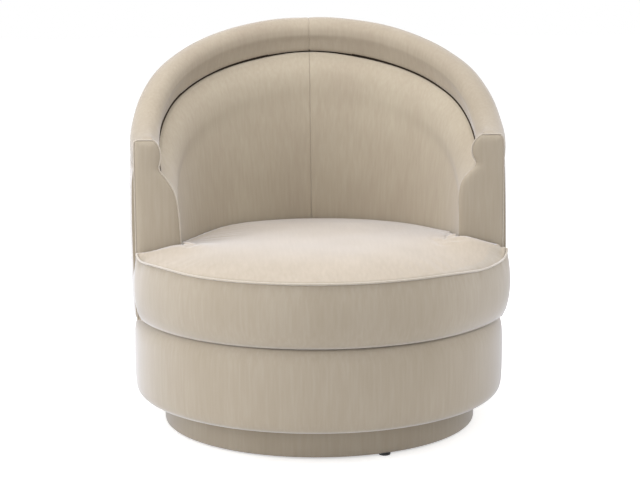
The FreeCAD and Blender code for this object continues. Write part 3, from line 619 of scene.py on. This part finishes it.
def walk_half(word):
    """(x, y, swell, seam height, fade) from the rear centre round one side to the front."""
    wider, fuller, peak, dip = EARS[word]
    side = -1 if word == "left" else 1
    turn = math.acos((REAR_SHIFT - EAR_PLANE) / REAR_RADIUS)
    walk = []
    for a in np.linspace(0, turn, 520):
        x, y = REAR_RADIUS * math.sin(a), REAR_RADIUS * math.cos(a) - REAR_SHIFT
        walk.append((x, y, 0.25, REAR_SEAM + lean(side * x, y), 0.006))
    corner = math.sqrt((WELT_RADIUS + wider) ** 2 - EAR_PLANE ** 2)
    for x in np.linspace(walk[-1][0], corner, 100)[1:]:
        walk.append((x, -EAR_PLANE, 0.0, EAR_SEAM + lean(side * x, -EAR_PLANE), 0.012))
    first = math.acos(EAR_PLANE / (WELT_RADIUS + wider))
    for a in np.linspace(first, 0, 510)[1:]:
        from_ear = WELT_RADIUS * (first - a)
        near_ear = math.exp(-(from_ear / 0.10) ** 2)
        reach = WELT_RADIUS + wider * near_ear
        seam = WELT_HEIGHT + peak * math.exp(-(from_ear / 0.024) ** 2)
        seam += dip * math.exp(-((from_ear - 0.13) / 0.085) ** 2)
        walk.append((reach * math.sin(a), -reach * math.cos(a), 1 + (fuller - 1) * near_ear,
                     seam, 0.030))
    return np.array(walk)


def averaged(walk, reach):
    """Average each column of a closed walk over a Gaussian reach, in points."""
    offsets = np.arange(-3 * reach, 3 * reach + 1)
    weights = np.exp(-0.5 * (offsets / reach) ** 2)
    weights /= weights.sum()
    return sum(w * np.roll(walk, -o, axis=0) for o, w in zip(offsets, weights))


def cushion_walk(count):
    left = walk_half("left")[::-1][1:-1] * [-1, 1, 1, 1, 1]
    walk = averaged(np.vstack([walk_half("right"), left]), 5)
    around = np.vstack([walk, walk[:1]])
    run = running_length(around[:, :2])
    at = np.linspace(0, run[-1], count + 1)
    return np.stack([np.interp(at, run, around[:, k]) for k in range(5)], 1)


def dome(x, y, crown):
    """The height of the crowned top, by the distance from the chair's axis."""
    inwards = max(WELT_RADIUS - math.hypot(x, y), 0)
    risen = 0.72 * (1 - math.exp(-inwards / 0.023)) + 0.28 * (1 - math.exp(-inwards / 0.085))
    return WELT_HEIGHT + crown * risen + lean(x, y)


SIDE_LINE = [(-0.0150, 0.2352), (-0.0095, 0.2368), (-0.0030, 0.2450), (0.0050, 0.262),
             (0.0105, 0.283), (0.0120, 0.303), (0.0105, 0.325), (0.0058, 0.346)]
FOOT_BULGE = SIDE_LINE[0][0]


def cushion_places(columns, plump):
    """The cushion's form, in rows from the middle of its foot to the middle of its crown.

    SIDE_LINE gives the bulge of the side and the height at which it has it. plump is 1 for the
    finished form and less for what cloth will fill.
    """
    walk = cushion_walk(columns)
    ahead = np.roll(walk[:-1], -1, axis=0) - np.roll(walk[:-1], 1, axis=0)
    ahead = np.vstack([ahead, ahead[:1]])
    out = np.stack([-ahead[:, 1], ahead[:, 0]], 1)
    out /= np.linalg.norm(out, axis=1)[:, None]
    out *= np.sign((out * (walk[:, :2] - np.array(HEART))).sum(1))[:, None]
    inwards = np.concatenate([[0.004, 0.012, 0.03], np.linspace(0.06, 1, 22)])
    rows = [("bottom", share) for share in reversed(inwards)]
    rows += [("side", step) for step in smooth_line(SIDE_LINE, 16)] + [("seam", 0)]
    rows += [("top", share) for share in inwards]
    places = np.zeros((len(rows), columns + 1, 3))
    for number, (kind, value) in enumerate(rows):
        for column, ((x, y, swell, seam, fade), side) in enumerate(zip(walk, out)):
            height = seam
            if kind == "bottom":
                x, y = x + side[0] * FOOT_BULGE * swell, y + side[1] * FOOT_BULGE * swell
                x, y = x + (HEART[0] - x) * value, y + (HEART[1] - y) * value
                height = CUSHION_FOOT
            elif kind == "side":
                bulge, height = value
                bulge *= swell * (plump if bulge > 0 else 1)
                x, y = x + side[0] * bulge, y + side[1] * bulge
                share = (height - CUSHION_FOOT) / (WELT_HEIGHT - CUSHION_FOOT)
                height = CUSHION_FOOT + share * (seam - CUSHION_FOOT)
            elif kind == "top":
                far = math.hypot(x - HEART[0], y - HEART[1]) * value
                at_seam = dome(x, y, CROWN * plump)
                x, y = x + (HEART[0] - x) * value, y + (HEART[1] - y) * value
                height = dome(x, y, CROWN * plump) + (seam - at_seam) * math.exp(-far / fade)
            places[number, column] = x, y, height
    return places


print("cushion outline", cushion_walk(8)[:, :2].round(3).tolist())

# %% [markdown]
# A padded cushion gets its life from tension: cloth pulled round foam swells between its seams
# and is held along them. The form is voxel remeshed into even faces, the seams are pinned, and
# Blender's cloth is blown up with a little pressure and no gravity. How far a point may move is
# capped, so the cushion keeps clear of the arms, the inner back and the deck.

# %% Fill the cushion
VOXEL = 0.006
SWELL_CAP = 0.012
LAST_FRAME = 20
REAR_LIMIT = 0.2938
EAR_START, EAR_LIMIT = 0.284, -0.1036


def nearest_on(walk, place):
    """The point of the walk nearest to a place, its number, and how far off it is on a plan."""
    gaps = np.hypot(walk[:, 0] - place[0], walk[:, 1] - place[1])
    nearest = int(np.argmin(gaps))
    return walk[nearest], nearest, gaps[nearest]


def at_the_rear(swell, gap):
    """Whether a point is on the hidden rear of the cushion, which hardly swells."""
    return swell < 0.9 and gap < 0.02


def seam_strength(place, walk):
    """1 on the cushion's top seam, on its underside and at its hidden rear, less away from them."""
    (_, _, swell, seam, _), _, gap = nearest_on(walk, place)
    to_seam = math.hypot(gap, place[2] - seam)
    strength = max(0.0, 1 - max(0, to_seam - 0.004) / 0.006)
    if place[2] < CUSHION_FOOT + 0.004:
        strength = 1.0
    if at_the_rear(swell, gap):
        strength = max(strength, 0.9)
    return strength


def keep_clear(place):
    """Move a point of the cushion back where it would touch its neighbours."""
    x, y, z = place
    z = max(z, CUSHION_FOOT - 0.0002)
    if y > -EAR_PLANE:
        reach = math.hypot(x, y + REAR_SHIFT)
        if reach > REAR_LIMIT:
            x, y = x * REAR_LIMIT / reach, (y + REAR_SHIFT) * REAR_LIMIT / reach - REAR_SHIFT
    if abs(x) > EAR_START and y > EAR_LIMIT:
        y = EAR_LIMIT
    return x, y, z


def fill_with_cloth(piece, walk):
    """Remesh, pin the seams, simulate with pressure, cap and apply."""
    pick(piece)
    piece.data.remesh_voxel_size = VOXEL
    piece.data.use_remesh_fix_poles = True
    bpy.ops.object.voxel_remesh()
    start = np.array([vertex.co[:] for vertex in piece.data.vertices])
    pins = piece.vertex_groups.new(name="sewn")
    for vertex in piece.data.vertices:
        strength = seam_strength(vertex.co, walk)
        if strength > 0:
            pins.add([vertex.index], strength, "REPLACE")
    bpy.ops.object.modifier_add(type="CLOTH")
    cloth = piece.modifiers[-1]
    cloth.settings.vertex_group_mass = "sewn"
    cloth.settings.quality = 4
    cloth.settings.mass = 0.2
    cloth.settings.tension_stiffness = 14
    cloth.settings.compression_stiffness = 14
    cloth.settings.bending_stiffness = 0.4
    cloth.settings.use_pressure = True
    cloth.settings.uniform_pressure_force = 4
    cloth.settings.effector_weights.gravity = 0
    cloth.collision_settings.use_collision = False
    cloth.point_cache.frame_start = 1
    cloth.point_cache.frame_end = LAST_FRAME
    for frame_number in range(1, LAST_FRAME + 1):
        bpy.context.scene.frame_set(frame_number)
    bpy.ops.object.modifier_apply(modifier=cloth.name)
    bpy.context.scene.frame_set(1)
    moved = np.array([vertex.co[:] for vertex in piece.data.vertices]) - start
    length = np.linalg.norm(moved, axis=1)
    print("cloth moved up to", round(float(length.max()) * 1000, 1), "mm")
    capped = start + moved * np.minimum(1, SWELL_CAP / np.maximum(length, 1e-9))[:, None]
    for vertex, place in zip(piece.data.vertices, capped):
        vertex.co = keep_clear(place)
    piece.vertex_groups.clear()


def pucker(piece, walk):
    """Small folds that run away from the top seam, and the soft unevenness of the foam."""
    run = running_length(walk[:, :2])
    normals = [vertex.normal.copy() for vertex in piece.data.vertices]
    for vertex, normal in zip(piece.data.vertices, normals):
        place = vertex.co
        (_, _, swell, seam, _), nearest, gap = nearest_on(walk, place)
        if place.z < CUSHION_FOOT + 0.003 or at_the_rear(swell, gap):
            continue
        away = math.hypot(gap, place.z - seam)
        fold = ripple((run[nearest], 0, 0), 0.016, 5.5) * math.exp(-away / 0.016) * 0.0016
        soft = ripple(place, 0.11, 9.2) * 0.0012 * min(1, away / 0.03)
        vertex.co = keep_clear(place + normal * (fold + soft))


cushion_line = cushion_walk(420)
plump = 0.72
cushion = lay_cloth("velvet_seat_cushion", cushion_places(300, plump))
sew_shut(cushion, 0.0001)
fill_with_cloth(cushion, cushion_line)
pucker(cushion, cushion_line)
finish_shape(cushion, 70)
upholster(cushion, "cushion", 0.85, "cushion_side_band", "cushion_crown", "cushion_foam_core",
          "cushion_bottom_panel")

# %% [markdown]
# A thin welt is sewn into the cushion's top seam all the way round. At the front it shows as a
# bright line between the crown and the band, partly from its shape and partly from the paler velvet
# it is given, which is a painted highlight; at the ears it turns up and goes behind them. A finer
# one closes the lower seam, where it shows as a lip above the drum.

# %% The cushion's welts


def close_ring(name, places, radius):
    cord = piping(name, places, radius, closed=True)
    sew_shut(cord, 0.00001)
    return finish_shape(cord, 60)


welt_walk = cushion_walk(260)[:-1]
heart = np.array(HEART)
top_welt_places = []
low_welt_places = []
for x, y, swell, seam, _ in welt_walk:
    away = np.array([x, y]) - heart
    away /= np.linalg.norm(away)
    shown = min(1, max(0, (swell - 0.3) / 0.5))
    stand = -0.007 + 0.009 * shown
    top_welt_places.append((x + away[0] * stand, y + away[1] * stand,
                            seam - 0.005 + 0.006 * shown))
    low = -0.0125 * swell
    low_welt_places.append((x + away[0] * low, y + away[1] * low, 0.2372))
top_welt = close_ring("velvet_cushion_welt", top_welt_places, 0.0020)
upholster(top_welt, "cushion", 1.0, "cushion_welt")
low_welt = close_ring("velvet_cushion_lower_welt", low_welt_places, 0.0016)
upholster(low_welt, "cushion", 1.0)

# %% [markdown]
# The drum and the plinth are round, so each starts as a circle that is extruded ring by ring
# along its section: in under the hem, out and up the side, and back in at the top. Extruding by
# hand keeps every ring where it is wanted, with closer rings where the cloth turns tightly. The
# side of the drum's cover, beyond DRUM_SIDE, hangs a millimetre to the left.

# %% Turned covers
DRUM_SIDE, DRUM_SHIFT = 0.378, 0.0010


def extrude_rings(name, section, steps):
    """Extrude a circle along (radius, height) places and stay in edit mode at the last ring."""
    deselect()
    radius, height = section[0]
    bpy.ops.mesh.primitive_circle_add(vertices=steps, radius=radius, location=(0, 0, height))
    piece = bpy.context.object
    piece.name = piece.data.name = name
    bpy.ops.object.transform_apply(location=True, rotation=True, scale=True)
    bpy.ops.object.mode_set(mode="EDIT")
    bpy.ops.mesh.select_all(action="SELECT")
    for (radius, height), (next_radius, next_height) in zip(section, section[1:]):
        bpy.ops.mesh.extrude_region_move(
            TRANSFORM_OT_translate={"value": (0, 0, next_height - height)})
        grow = next_radius / radius
        bpy.ops.transform.resize(value=(grow, grow, 1), center_override=(0, 0, 0))
    return piece


def turned(name, section, steps=160):
    """A cover turned along a closed section, its last ring merged with its first."""
    cover = extrude_rings(name, section, steps)
    bpy.ops.object.mode_set(mode="OBJECT")
    sew_shut(cover, 0.00003)
    return cover


def unevenness(piece, size, amount, seed):
    """Move the vertices of a turned cover a little in or out, as hand-pulled cloth is."""
    for vertex in piece.data.vertices:
        reach = math.hypot(vertex.co.x, vertex.co.y)
        grow = 1 + amount * ripple(vertex.co, size, seed) / reach
        vertex.co.x *= grow
        vertex.co.y *= grow


drum_line = [(0.3420, 0.0656), (0.3570, 0.0656), (0.3705, 0.0660), (0.3802, 0.0680),
             (0.3876, 0.0742), (0.3910, 0.0840), (0.3924, 0.1000), (0.3932, 0.1400),
             (0.3930, 0.1800), (0.3918, 0.2020), (0.3890, 0.2150), (0.3844, 0.2255),
             (0.3788, 0.2322), (0.3715, 0.2344), (0.3605, 0.2344)]
drum_skin = [tuple(point) for point in smooth_line(drum_line, 64)]
drum_back = [(0.3605, 0.2260), (0.3605, 0.0900), (0.3420, 0.0702), (0.3420, 0.0656)]
drum = turned("velvet_drum", drum_skin + drum_back)
unevenness(drum, 0.14, 0.0005, 21.0)
for vertex in drum.data.vertices:
    if math.hypot(vertex.co.x, vertex.co.y) > DRUM_SIDE:
        vertex.co.x -= DRUM_SHIFT
finish_shape(drum, 40)
upholster(drum, "upper", 0.8, "drum_cover", "drum_foam")

plinth_line = [(0.3180, 0.0041), (0.3280, 0.0041), (0.3312, 0.0047), (0.3320, 0.0068),
               (0.3322, 0.0110), (0.3323, 0.0300), (0.3320, 0.0520), (0.3312, 0.0575),
               (0.3280, 0.0590), (0.3180, 0.0590)]
plinth_skin = [tuple(point) for point in smooth_line(plinth_line, 40)]
plinth_back = [(0.3180, 0.0581), (0.3292, 0.0581), (0.3292, 0.0050), (0.3180, 0.0050),
               (0.3180, 0.0041)]
plinth = turned("velvet_plinth", plinth_skin + plinth_back)
finish_shape(plinth, 40)
upholster(plinth, "base", 0.9, "plinth_cover")

# %% [markdown]
# When the cushion is lifted out, the deck shows: a shallow pad of plain lining cloth on webbing,
# with a velvet border sewn round it, where the front of the deck can be seen.

# %% The deck under the cushion
deck_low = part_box("deck_pad")[0].z
border_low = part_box("deck_border")[0].z
deck_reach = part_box("deck_pad")[1].x - 0.0005
deck_line = [(0.004, deck_low + 0.0002), (deck_reach - 0.004, deck_low + 0.0002),
             (deck_reach, deck_low + 0.003), (deck_reach, 0.2310), (deck_reach - 0.003, 0.2333),
             (deck_reach - 0.012, 0.2342), (deck_reach - 0.060, 0.2344), (0.14, 0.2340),
             (0.05, 0.2338), (0.004, 0.2338)]
deck = turned("lining_deck_pad", deck_line, 120)
finish_shape(deck, 40)
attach(deck, "upper")
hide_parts("deck_pad")

border_in, border_out = deck_reach + 0.0008, 0.3602
border_line = [(border_in, border_low + 0.0002), (border_out, border_low + 0.0002),
               (border_out, 0.2338), (border_out - 0.003, 0.2345), (border_in + 0.004, 0.2345),
               (border_in, 0.2336), (border_in, border_low + 0.0002)]
border = turned("velvet_deck_border", border_line, 160)
finish_shape(border, 40)
upholster(border, "upper", 0.9, "deck_border")

# %% [markdown]
# Two thin black cloths close the chair from below: one under the drum and one under the plinth.
# Each is a stretched sheet, stapled at its edge, that hangs a millimetre or so in the middle.

# %% The dust cloths
CLOTH_THICKNESS = 0.0006
SAG = 0.0006


def stretched_cloth(name, inner, outer, height, body, node):
    """A flat round cloth with rings and a little sag, given its thickness last."""
    radii = np.linspace(outer, max(inner, 0.01), 12)
    cloth = extrude_rings(name, [(radius, height) for radius in radii], 96)
    if inner == 0:
        bpy.ops.mesh.merge(type="CENTER")
    bpy.ops.object.mode_set(mode="OBJECT")
    for vertex in cloth.data.vertices:
        reach = math.hypot(vertex.co.x, vertex.co.y)
        free = math.sin(math.pi * (reach - inner) / (outer - inner)) if inner else \
            1 - (reach / outer) ** 2
        vertex.co.z -= max(free, 0) * SAG * (1 + 0.4 * ripple(vertex.co, 0.07, 31.0))
    modifier = cloth.modifiers.new("thickness", "SOLIDIFY")
    modifier.thickness = CLOTH_THICKNESS
    modifier.offset = 0
    finish_shape(cloth, 60)
    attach(cloth, body)
    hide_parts(node)
    return cloth


dust_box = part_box("drum_dust_cover")
dust_cloth = stretched_cloth("cloth_drum_underside", 0.147, 0.3405, dust_box[1].z - 0.0006,
                             "upper", "drum_dust_cover")
under_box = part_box("plinth_underside_cloth")
under_cloth = stretched_cloth("cloth_plinth_underside", 0, under_box[1].x, under_box[1].z - 0.0004,
                              "base", "plinth_underside_cloth")

# %% [markdown]
# Materials are node trees, so each starts with the same few steps: a new material, and nodes with
# settings and links. Colours are written as the hex values an artist would pick on a screen, and
# one function turns them into the linear values that a shader works with.

# %% Helpers for materials


def linear(hex_colour):
    """An sRGB hex colour as linear red, green, blue and alpha."""
    parts = [int(hex_colour[start:start + 2], 16) / 255 for start in (1, 3, 5)]
    return tuple(c / 12.92 if c <= 0.04045 else ((c + 0.055) / 1.055) ** 2.4 for c in parts) + (1,)


def add_node(tree, kind, inputs=None, **settings):
    """Add a node with its settings. An input is a value, or an output of another node."""
    node = tree.nodes.new(kind)
    for name, value in settings.items():
        setattr(node, name, value)
    for name, value in (inputs or {}).items():
        if isinstance(value, bpy.types.NodeSocket):
            tree.links.new(value, node.inputs[name])
        else:
            node.inputs[name].default_value = value
    return node


def new_material(name):
    material = bpy.data.materials.new(name)
    material.use_nodes = True
    material.node_tree.nodes.clear()
    return material, material.node_tree


def close_material(tree, shader, **constants):
    """Set what is the same all over the surface on the shader's own sockets, and link it out."""
    for name, value in constants.items():
        shader.inputs[name.replace("_", " ")].default_value = value
    add_node(tree, "ShaderNodeOutputMaterial", {"Surface": shader.outputs[0]})


def close_with_relief(tree, colour, height, strength, depth, **constants):
    """Close a material that has a colour and a fine relief, depth metres deep."""
    bump = add_node(tree, "ShaderNodeBump", {
        "Strength": strength, "Distance": depth, "Height": height})
    shader = add_node(tree, "ShaderNodeBsdfPrincipled", {
        "Base Color": colour, "Normal": bump.outputs["Normal"]})
    close_material(tree, shader, **constants)


def pattern(tree, per_metre, detail=2.0, shift=(0, 0, 0)):
    """Noise on Object coordinates, which repeats so many times per metre along X, Y and Z."""
    place = add_node(tree, "ShaderNodeTexCoord")
    mapping = add_node(tree, "ShaderNodeMapping", {
        "Vector": place.outputs["Object"], "Location": shift, "Scale": per_metre})
    return add_node(tree, "ShaderNodeTexNoise", {
        "Vector": mapping.outputs["Vector"], "Scale": 1.0, "Detail": detail,
        "Roughness": 0.55}).outputs["Fac"]


def mixed(tree, share, first, second):
    """Two patterns mixed, with a share of the second."""
    return add_node(tree, "ShaderNodeMix", {"Factor": share, "A": first, "B": second},
                    data_type="FLOAT").outputs[0]


def ramp(tree, value, stops):
    """A colour ramp from (position, hex) stops."""
    node = add_node(tree, "ShaderNodeValToRGB", {"Fac": value})
    while len(node.color_ramp.elements) < len(stops):
        node.color_ramp.elements.new(0.5)
    for element, (position, colour) in zip(node.color_ramp.elements, stops):
        element.position = position
        element.color = linear(colour)
    return node.outputs["Color"]


def give(pieces, material):
    for piece in pieces:
        piece.data.materials.clear()
        piece.data.materials.append(material)


print("material helpers ready")

# %% [markdown]
# The cover is cotton velvet: a dense cut pile, about 2 mm high, that lies mostly one way. Looked
# at straight on, the eye falls between the fibres and the cloth is a deep warm grey. At a grazing
# angle it sees the fibre tips, and the cloth turns pale: that is the shader's sheen. Where the
# pile has been brushed a little aside it shows lighter or darker streaks along the nap, about
# 6 mm wide and 8 cm long, and larger soft patches. The inner back, the roll, the seat's crown and
# the piping each have their own sheen and their own copy of the colour, painted lighter or darker
# for how the light falls on them: painted shade on the roll, painted light on the inner back and
# on the crown, and a painted highlight on the piping and welts. On the seat the streaks run front
# to back.

# %% Velvet


def velvet(name, deep, middle, pale, nap, sheen, spread):
    """Cut-pile velvet whose nap runs along the axis with the fewest streaks per metre."""
    material, tree = new_material(name)
    streaks = pattern(tree, nap)
    patches = pattern(tree, (7, 7, 4), shift=(3, 1, 2))
    tufts = pattern(tree, (900, 900, 500), detail=1.0)
    colour = ramp(tree, mixed(tree, 0.55, streaks, patches),
                  [(0.30, deep), (0.5, middle), (0.70, pale)])
    close_with_relief(tree, colour, mixed(tree, 0.5, streaks, tufts), 0.10, 0.0010,
                      Roughness=0.85, Specular_IOR_Level=0.12, Sheen_Weight=sheen,
                      Sheen_Roughness=spread, Sheen_Tint=linear("#F4F6FF"))
    return material


upright_velvet = velvet("velvet_nap_down", "#9E9382", "#A39888", "#A99F90",
                        (170, 170, 12), 1.0, 0.42)
# The inner back's copy is a little paler, painted light, and has less sheen.
inner_back_velvet_painted_light = velvet("velvet_nap_up", "#9F9383", "#A59A89", "#ABA190", (170, 170, 12), 0.3, 0.5)
# The roll's copy is darker: painted shade.
roll_velvet_painted_shade = velvet("velvet_nap_over", "#95897A", "#9B9080", "#A29787", (170, 170, 12), 0.5, 0.42)
# The seat's copy is paler: painted light on the upward-facing crown. Its streaks run front to back.
seat_velvet_painted_light = velvet("velvet_nap_forward", "#A79C8D", "#ADA294", "#B4A99B",
                     (170, 12, 170), 1.0, 0.31)
# The bias strip for the piping and welts is paler: a painted highlight.
piping_velvet_painted_highlight = velvet("velvet_bias_strip", "#ADA293", "#B4AA9B", "#BBB2A4",
                     (150, 150, 150), 1.0, 0.5)


def velvet_named(*words):
    """The velvet pieces with one of the words in their names."""
    return [piece for piece in velvet_pieces if any(word in piece.name for word in words)]


def second_material(piece, material, wanted):
    """Give the faces that pass a test another material."""
    piece.data.materials.append(material)
    chosen = [face for face in piece.data.polygons if wanted(face)]
    for face in chosen:
        face.material_index = 1
    print(piece.name, len(chosen), "faces of", material.name)


# The upward-facing faces of the crown, which get the paler seat velvet: painted light.
def crown_faces_painted_light(face):
    return face.center.z > WELT_HEIGHT + 0.004 and face.normal.z > 0.82


give(velvet_pieces, upright_velvet)
give(velvet_named("inner_back"), inner_back_velvet_painted_light)
give(velvet_named("rim_roll"), roll_velvet_painted_shade)
give(velvet_named("piping", "welt"), piping_velvet_painted_highlight)
second_material(cushion, seat_velvet_painted_light, crown_faces_painted_light)
print("velvet on", len(velvet_pieces), "pieces")

# %% [markdown]
# The unseen cloths are a spunbonded polypropylene, black and matt with a faint dimple pattern,
# and a plain-woven cotton lining on the deck. Deep in the crease between the roll and the inner
# back the faces get a dark brown woven material: painted shade that makes the crease darker than
# its depth shades it. Threads of half a millimetre are too fine to show, so the weave is drawn at
# 3 to 4 mm.

# %% Dust cloth and lining


def woven(name, deep, pale, threads_per_metre, roughness):
    """Plain weave: two sets of bands across each other, on Object coordinates."""
    material, tree = new_material(name)
    place = add_node(tree, "ShaderNodeTexCoord")
    scaled = add_node(tree, "ShaderNodeMapping", {
        "Vector": place.outputs["Object"], "Scale": (threads_per_metre,) * 3})
    warp, weft = [add_node(tree, "ShaderNodeTexWave", {
        "Vector": scaled.outputs["Vector"], "Scale": 0.16, "Distortion": 0.4},
        bands_direction=axis).outputs["Fac"] for axis in "XY"]
    weave = add_node(tree, "ShaderNodeMath", {0: warp, 1: weft}, operation="MULTIPLY").outputs[0]
    close_with_relief(tree, ramp(tree, weave, [(0.0, deep), (0.8, pale)]), weave, 0.3, 0.0004,
                      Roughness=roughness, Specular_IOR_Level=0.3)
    return material


dust_material = woven("spunbonded_dust_cloth", "#101011", "#1F1F20", 500, 0.9)
lining_material = woven("cotton_lining", "#A2937F", "#BCAE9B", 500, 0.9)
webbing_material = woven("elastic_webbing", "#2A2A2C", "#4A4A4D", 700, 0.8)
# Dark brown for the faces deep in the crease under the roll: painted shade.
crease_painted_shade_material = woven("stretcher_cloth", "#332A21", "#463B30", 500, 0.95)
give([dust_cloth, under_cloth], dust_material)
give([deck], lining_material)


def section_angle(x, y):
    """The angle that tub_pad gave the section through a place."""
    side = 1 if x > SEAM_X else -1
    start, end = span(math.hypot(x, y), side)
    away = math.degrees(math.atan2(x, y)) * side
    return side * ARM_ANGLE * (away - start) / (end - start)


def in_the_crease(face):
    x, y, z = face.center
    if y < -0.02 or not 0.3324 < math.hypot(x, y) < 0.352:
        return False
    return -0.0030 < z - roll_foot(section_angle(x, y)) < 0.0034


# The faces deep in the crease get the dark brown material: painted shade that darkens the crease.
for piece in velvet_named("inner_back", "rim_roll"):
    second_material(piece, crease_painted_shade_material, in_the_crease)

# %% [markdown]
# The hard parts keep their CAD shapes and get the finish of what they are: a beech frame and
# birch plywood, zinc-plated pressed steel for the swivel, moulded polypropylene for the glides,
# acetal for the ball cage, and a nylon zip. Most are hidden, but they show when the part is taken
# apart.

# %% Wood


def wood(name, deep, middle, pale, along, roughness):
    """Planed wood: grain lines stretched along one axis, with pores between them."""
    material, tree = new_material(name)
    grain = pattern(tree, along, detail=6.0)
    pores = pattern(tree, tuple(7 * a for a in along), shift=(1, 2, 3))
    colour = ramp(tree, mixed(tree, 0.3, grain, pores), [(0.3, deep), (0.5, middle), (0.7, pale)])
    close_with_relief(tree, colour, pores, 0.15, 0.0004, Roughness=roughness)
    return material


beech = wood("beech_planed", "#B98A5E", "#CFA377", "#DDB88E", (90, 90, 7), 0.55)
plywood = wood("birch_plywood", "#C29A6B", "#D8B98C", "#E4CBA3", (14, 60, 300), 0.6)

# %% [markdown]
# Zinc plating is a thin bright blue-grey coat with cloudy crystals a few millimetres across. The
# moulded plastics have a fine spark-eroded texture from their mould.

# %% Metal and plastic


def zinc(name, roughness_low, roughness_high):
    material, tree = new_material(name)
    clouds = pattern(tree, (160, 160, 160), detail=3.0)
    colour = ramp(tree, clouds, [(0.35, "#A9ADB0"), (0.65, "#C3C6C8")])
    roughness = add_node(tree, "ShaderNodeMapRange", {
        "Value": clouds, "To Min": roughness_low, "To Max": roughness_high})
    shader = add_node(tree, "ShaderNodeBsdfPrincipled", {
        "Base Color": colour, "Roughness": roughness.outputs[0]})
    close_material(tree, shader, Metallic=1.0)
    return material


def moulded(name, deep, pale, roughness):
    material, tree = new_material(name)
    colour = ramp(tree, pattern(tree, (60, 60, 60)), [(0.3, deep), (0.7, pale)])
    grit = pattern(tree, (1400, 1400, 1400), detail=1.0)
    close_with_relief(tree, colour, grit, 0.12, 0.0002, Roughness=roughness, IOR=1.49)
    return material


plated_steel = zinc("zinc_plated_steel", 0.32, 0.5)
ball_steel = zinc("chromed_bearing_steel", 0.08, 0.16)
glide_plastic = moulded("polypropylene_black", "#111112", "#1B1B1C", 0.45)
cage_plastic = moulded("acetal_natural", "#D9D8D0", "#E6E5DE", 0.4)
zip_nylon = moulded("nylon_zip_grey", "#7E7367", "#8F8478", 0.5)

finishes = {
    "glide": glide_plastic, "zip": zip_nylon, "webbing": webbing_material, "screws": plated_steel,
    "cage": cage_plastic, "plate": plated_steel, "hub": plated_steel, "balls": ball_steel,
    "board": plywood, "wall": plywood, "blocks": beech, "ring": beech, "upright": beech,
    "post": beech, "rail": beech, "rib": beech,
}
for node_name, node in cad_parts.items():
    words = node_name.split("_")
    for word, material in finishes.items():
        if word in words:
            node.data.materials.clear()
            node.data.materials.append(material)
            break
print("finishes on the CAD nodes done")

# %% [markdown]
# The chair stands on a plain white floor in a plain white studio. The camera sees the world as
# pure white, and the floor adds a little white of its own for the camera only, so the open floor
# is white and the chair's own shadow still shows under it.

# %% Floor and white background
FLOOR_GLOW = 0.54
ROOM_LIGHT = 0.62


def seen_rays(tree, *rays):
    """1 for the rays that show the background to the camera, 0 for those that light the chair."""
    path = add_node(tree, "ShaderNodeLightPath")
    seen = path.outputs[rays[0]]
    for ray in rays[1:]:
        seen = add_node(tree, "ShaderNodeMath", {0: seen, 1: path.outputs[ray]},
                        operation="MAXIMUM").outputs[0]
    return seen


deselect()
bpy.ops.mesh.primitive_plane_add(size=30, location=(0, 0, 0))
floor = bpy.context.object
floor.name = "studio_floor"
bpy.ops.object.mode_set(mode="EDIT")
bpy.ops.mesh.subdivide(number_cuts=2)
bpy.ops.object.mode_set(mode="OBJECT")
floor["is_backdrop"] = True

floor_material, tree = new_material("matt_white_floor")
seen = seen_rays(tree, "Is Camera Ray", "Is Glossy Ray")
glow_strength = add_node(tree, "ShaderNodeMath", {0: seen, 1: FLOOR_GLOW}, operation="MULTIPLY")
paint = add_node(tree, "ShaderNodeBsdfDiffuse", {"Color": linear("#ECECEC")})
glow = add_node(tree, "ShaderNodeEmission", {"Color": (1, 1, 1, 1),
                                             "Strength": glow_strength.outputs[0]})
added = add_node(tree, "ShaderNodeAddShader", {0: paint.outputs[0], 1: glow.outputs[0]})
add_node(tree, "ShaderNodeOutputMaterial", {"Surface": added.outputs[0]})
give([floor], floor_material)

world = bpy.data.worlds.new("white_studio")
bpy.context.scene.world = world
world.use_nodes = True
tree = world.node_tree
tree.nodes.clear()
seen = seen_rays(tree, "Is Camera Ray", "Is Glossy Ray", "Is Transmission Ray")
level = add_node(tree, "ShaderNodeMapRange", {
    "Value": seen, "To Min": ROOM_LIGHT, "To Max": 1.0})
sky = add_node(tree, "ShaderNodeBackground", {"Color": (1, 1, 1, 1),
                                              "Strength": level.outputs[0]})
add_node(tree, "ShaderNodeOutputWorld", {"Surface": sky.outputs[0]})
print("floor and background ready")

# %% [markdown]
# Four large soft boxes light the chair. The one above shades the inside of the roll and the crease
# under it. One on the left and a weaker one on the right model the round form, and a faint one low
# in front opens the recess of the plinth. The white room fills the rest.

# %% Lights


def soft_box(name, place, target, size, power):
    deselect()
    bpy.ops.object.light_add(type="AREA", location=place)
    lamp = bpy.context.object
    lamp.name = name
    lamp.data.shape = "SQUARE"
    lamp.data.size = size
    lamp.data.energy = power
    aim = Vector(target) - Vector(place)
    lamp.rotation_euler = aim.to_track_quat("-Z", "Y").to_euler()
    return lamp


soft_box("top_light", (-0.45, -0.05, 2.60), (0.0, 0.05, 0.45), 1.6, 44)
soft_box("left_light", (-2.1, -0.95, 1.30), (0.0, 0.0, 0.45), 1.6, 30)
soft_box("right_light", (1.95, -0.50, 1.70), (-0.1, 0.05, 0.50), 1.6, 21)
soft_box("front_fill", (-0.9, -3.6, 0.7), (0.0, 0.0, 0.25), 2.2, 9)

# %% [markdown]
# Blender's own setting that changes colours is put to Standard, so white stays white. Then the
# box of the dressed chair is worked out, as the CAD model's box was at the start.

# %% Finish
scene = bpy.context.scene
scene.view_settings.view_transform = "Standard"
visual_box = box_of_the_object()
print("box with upholstery:", visual_box)
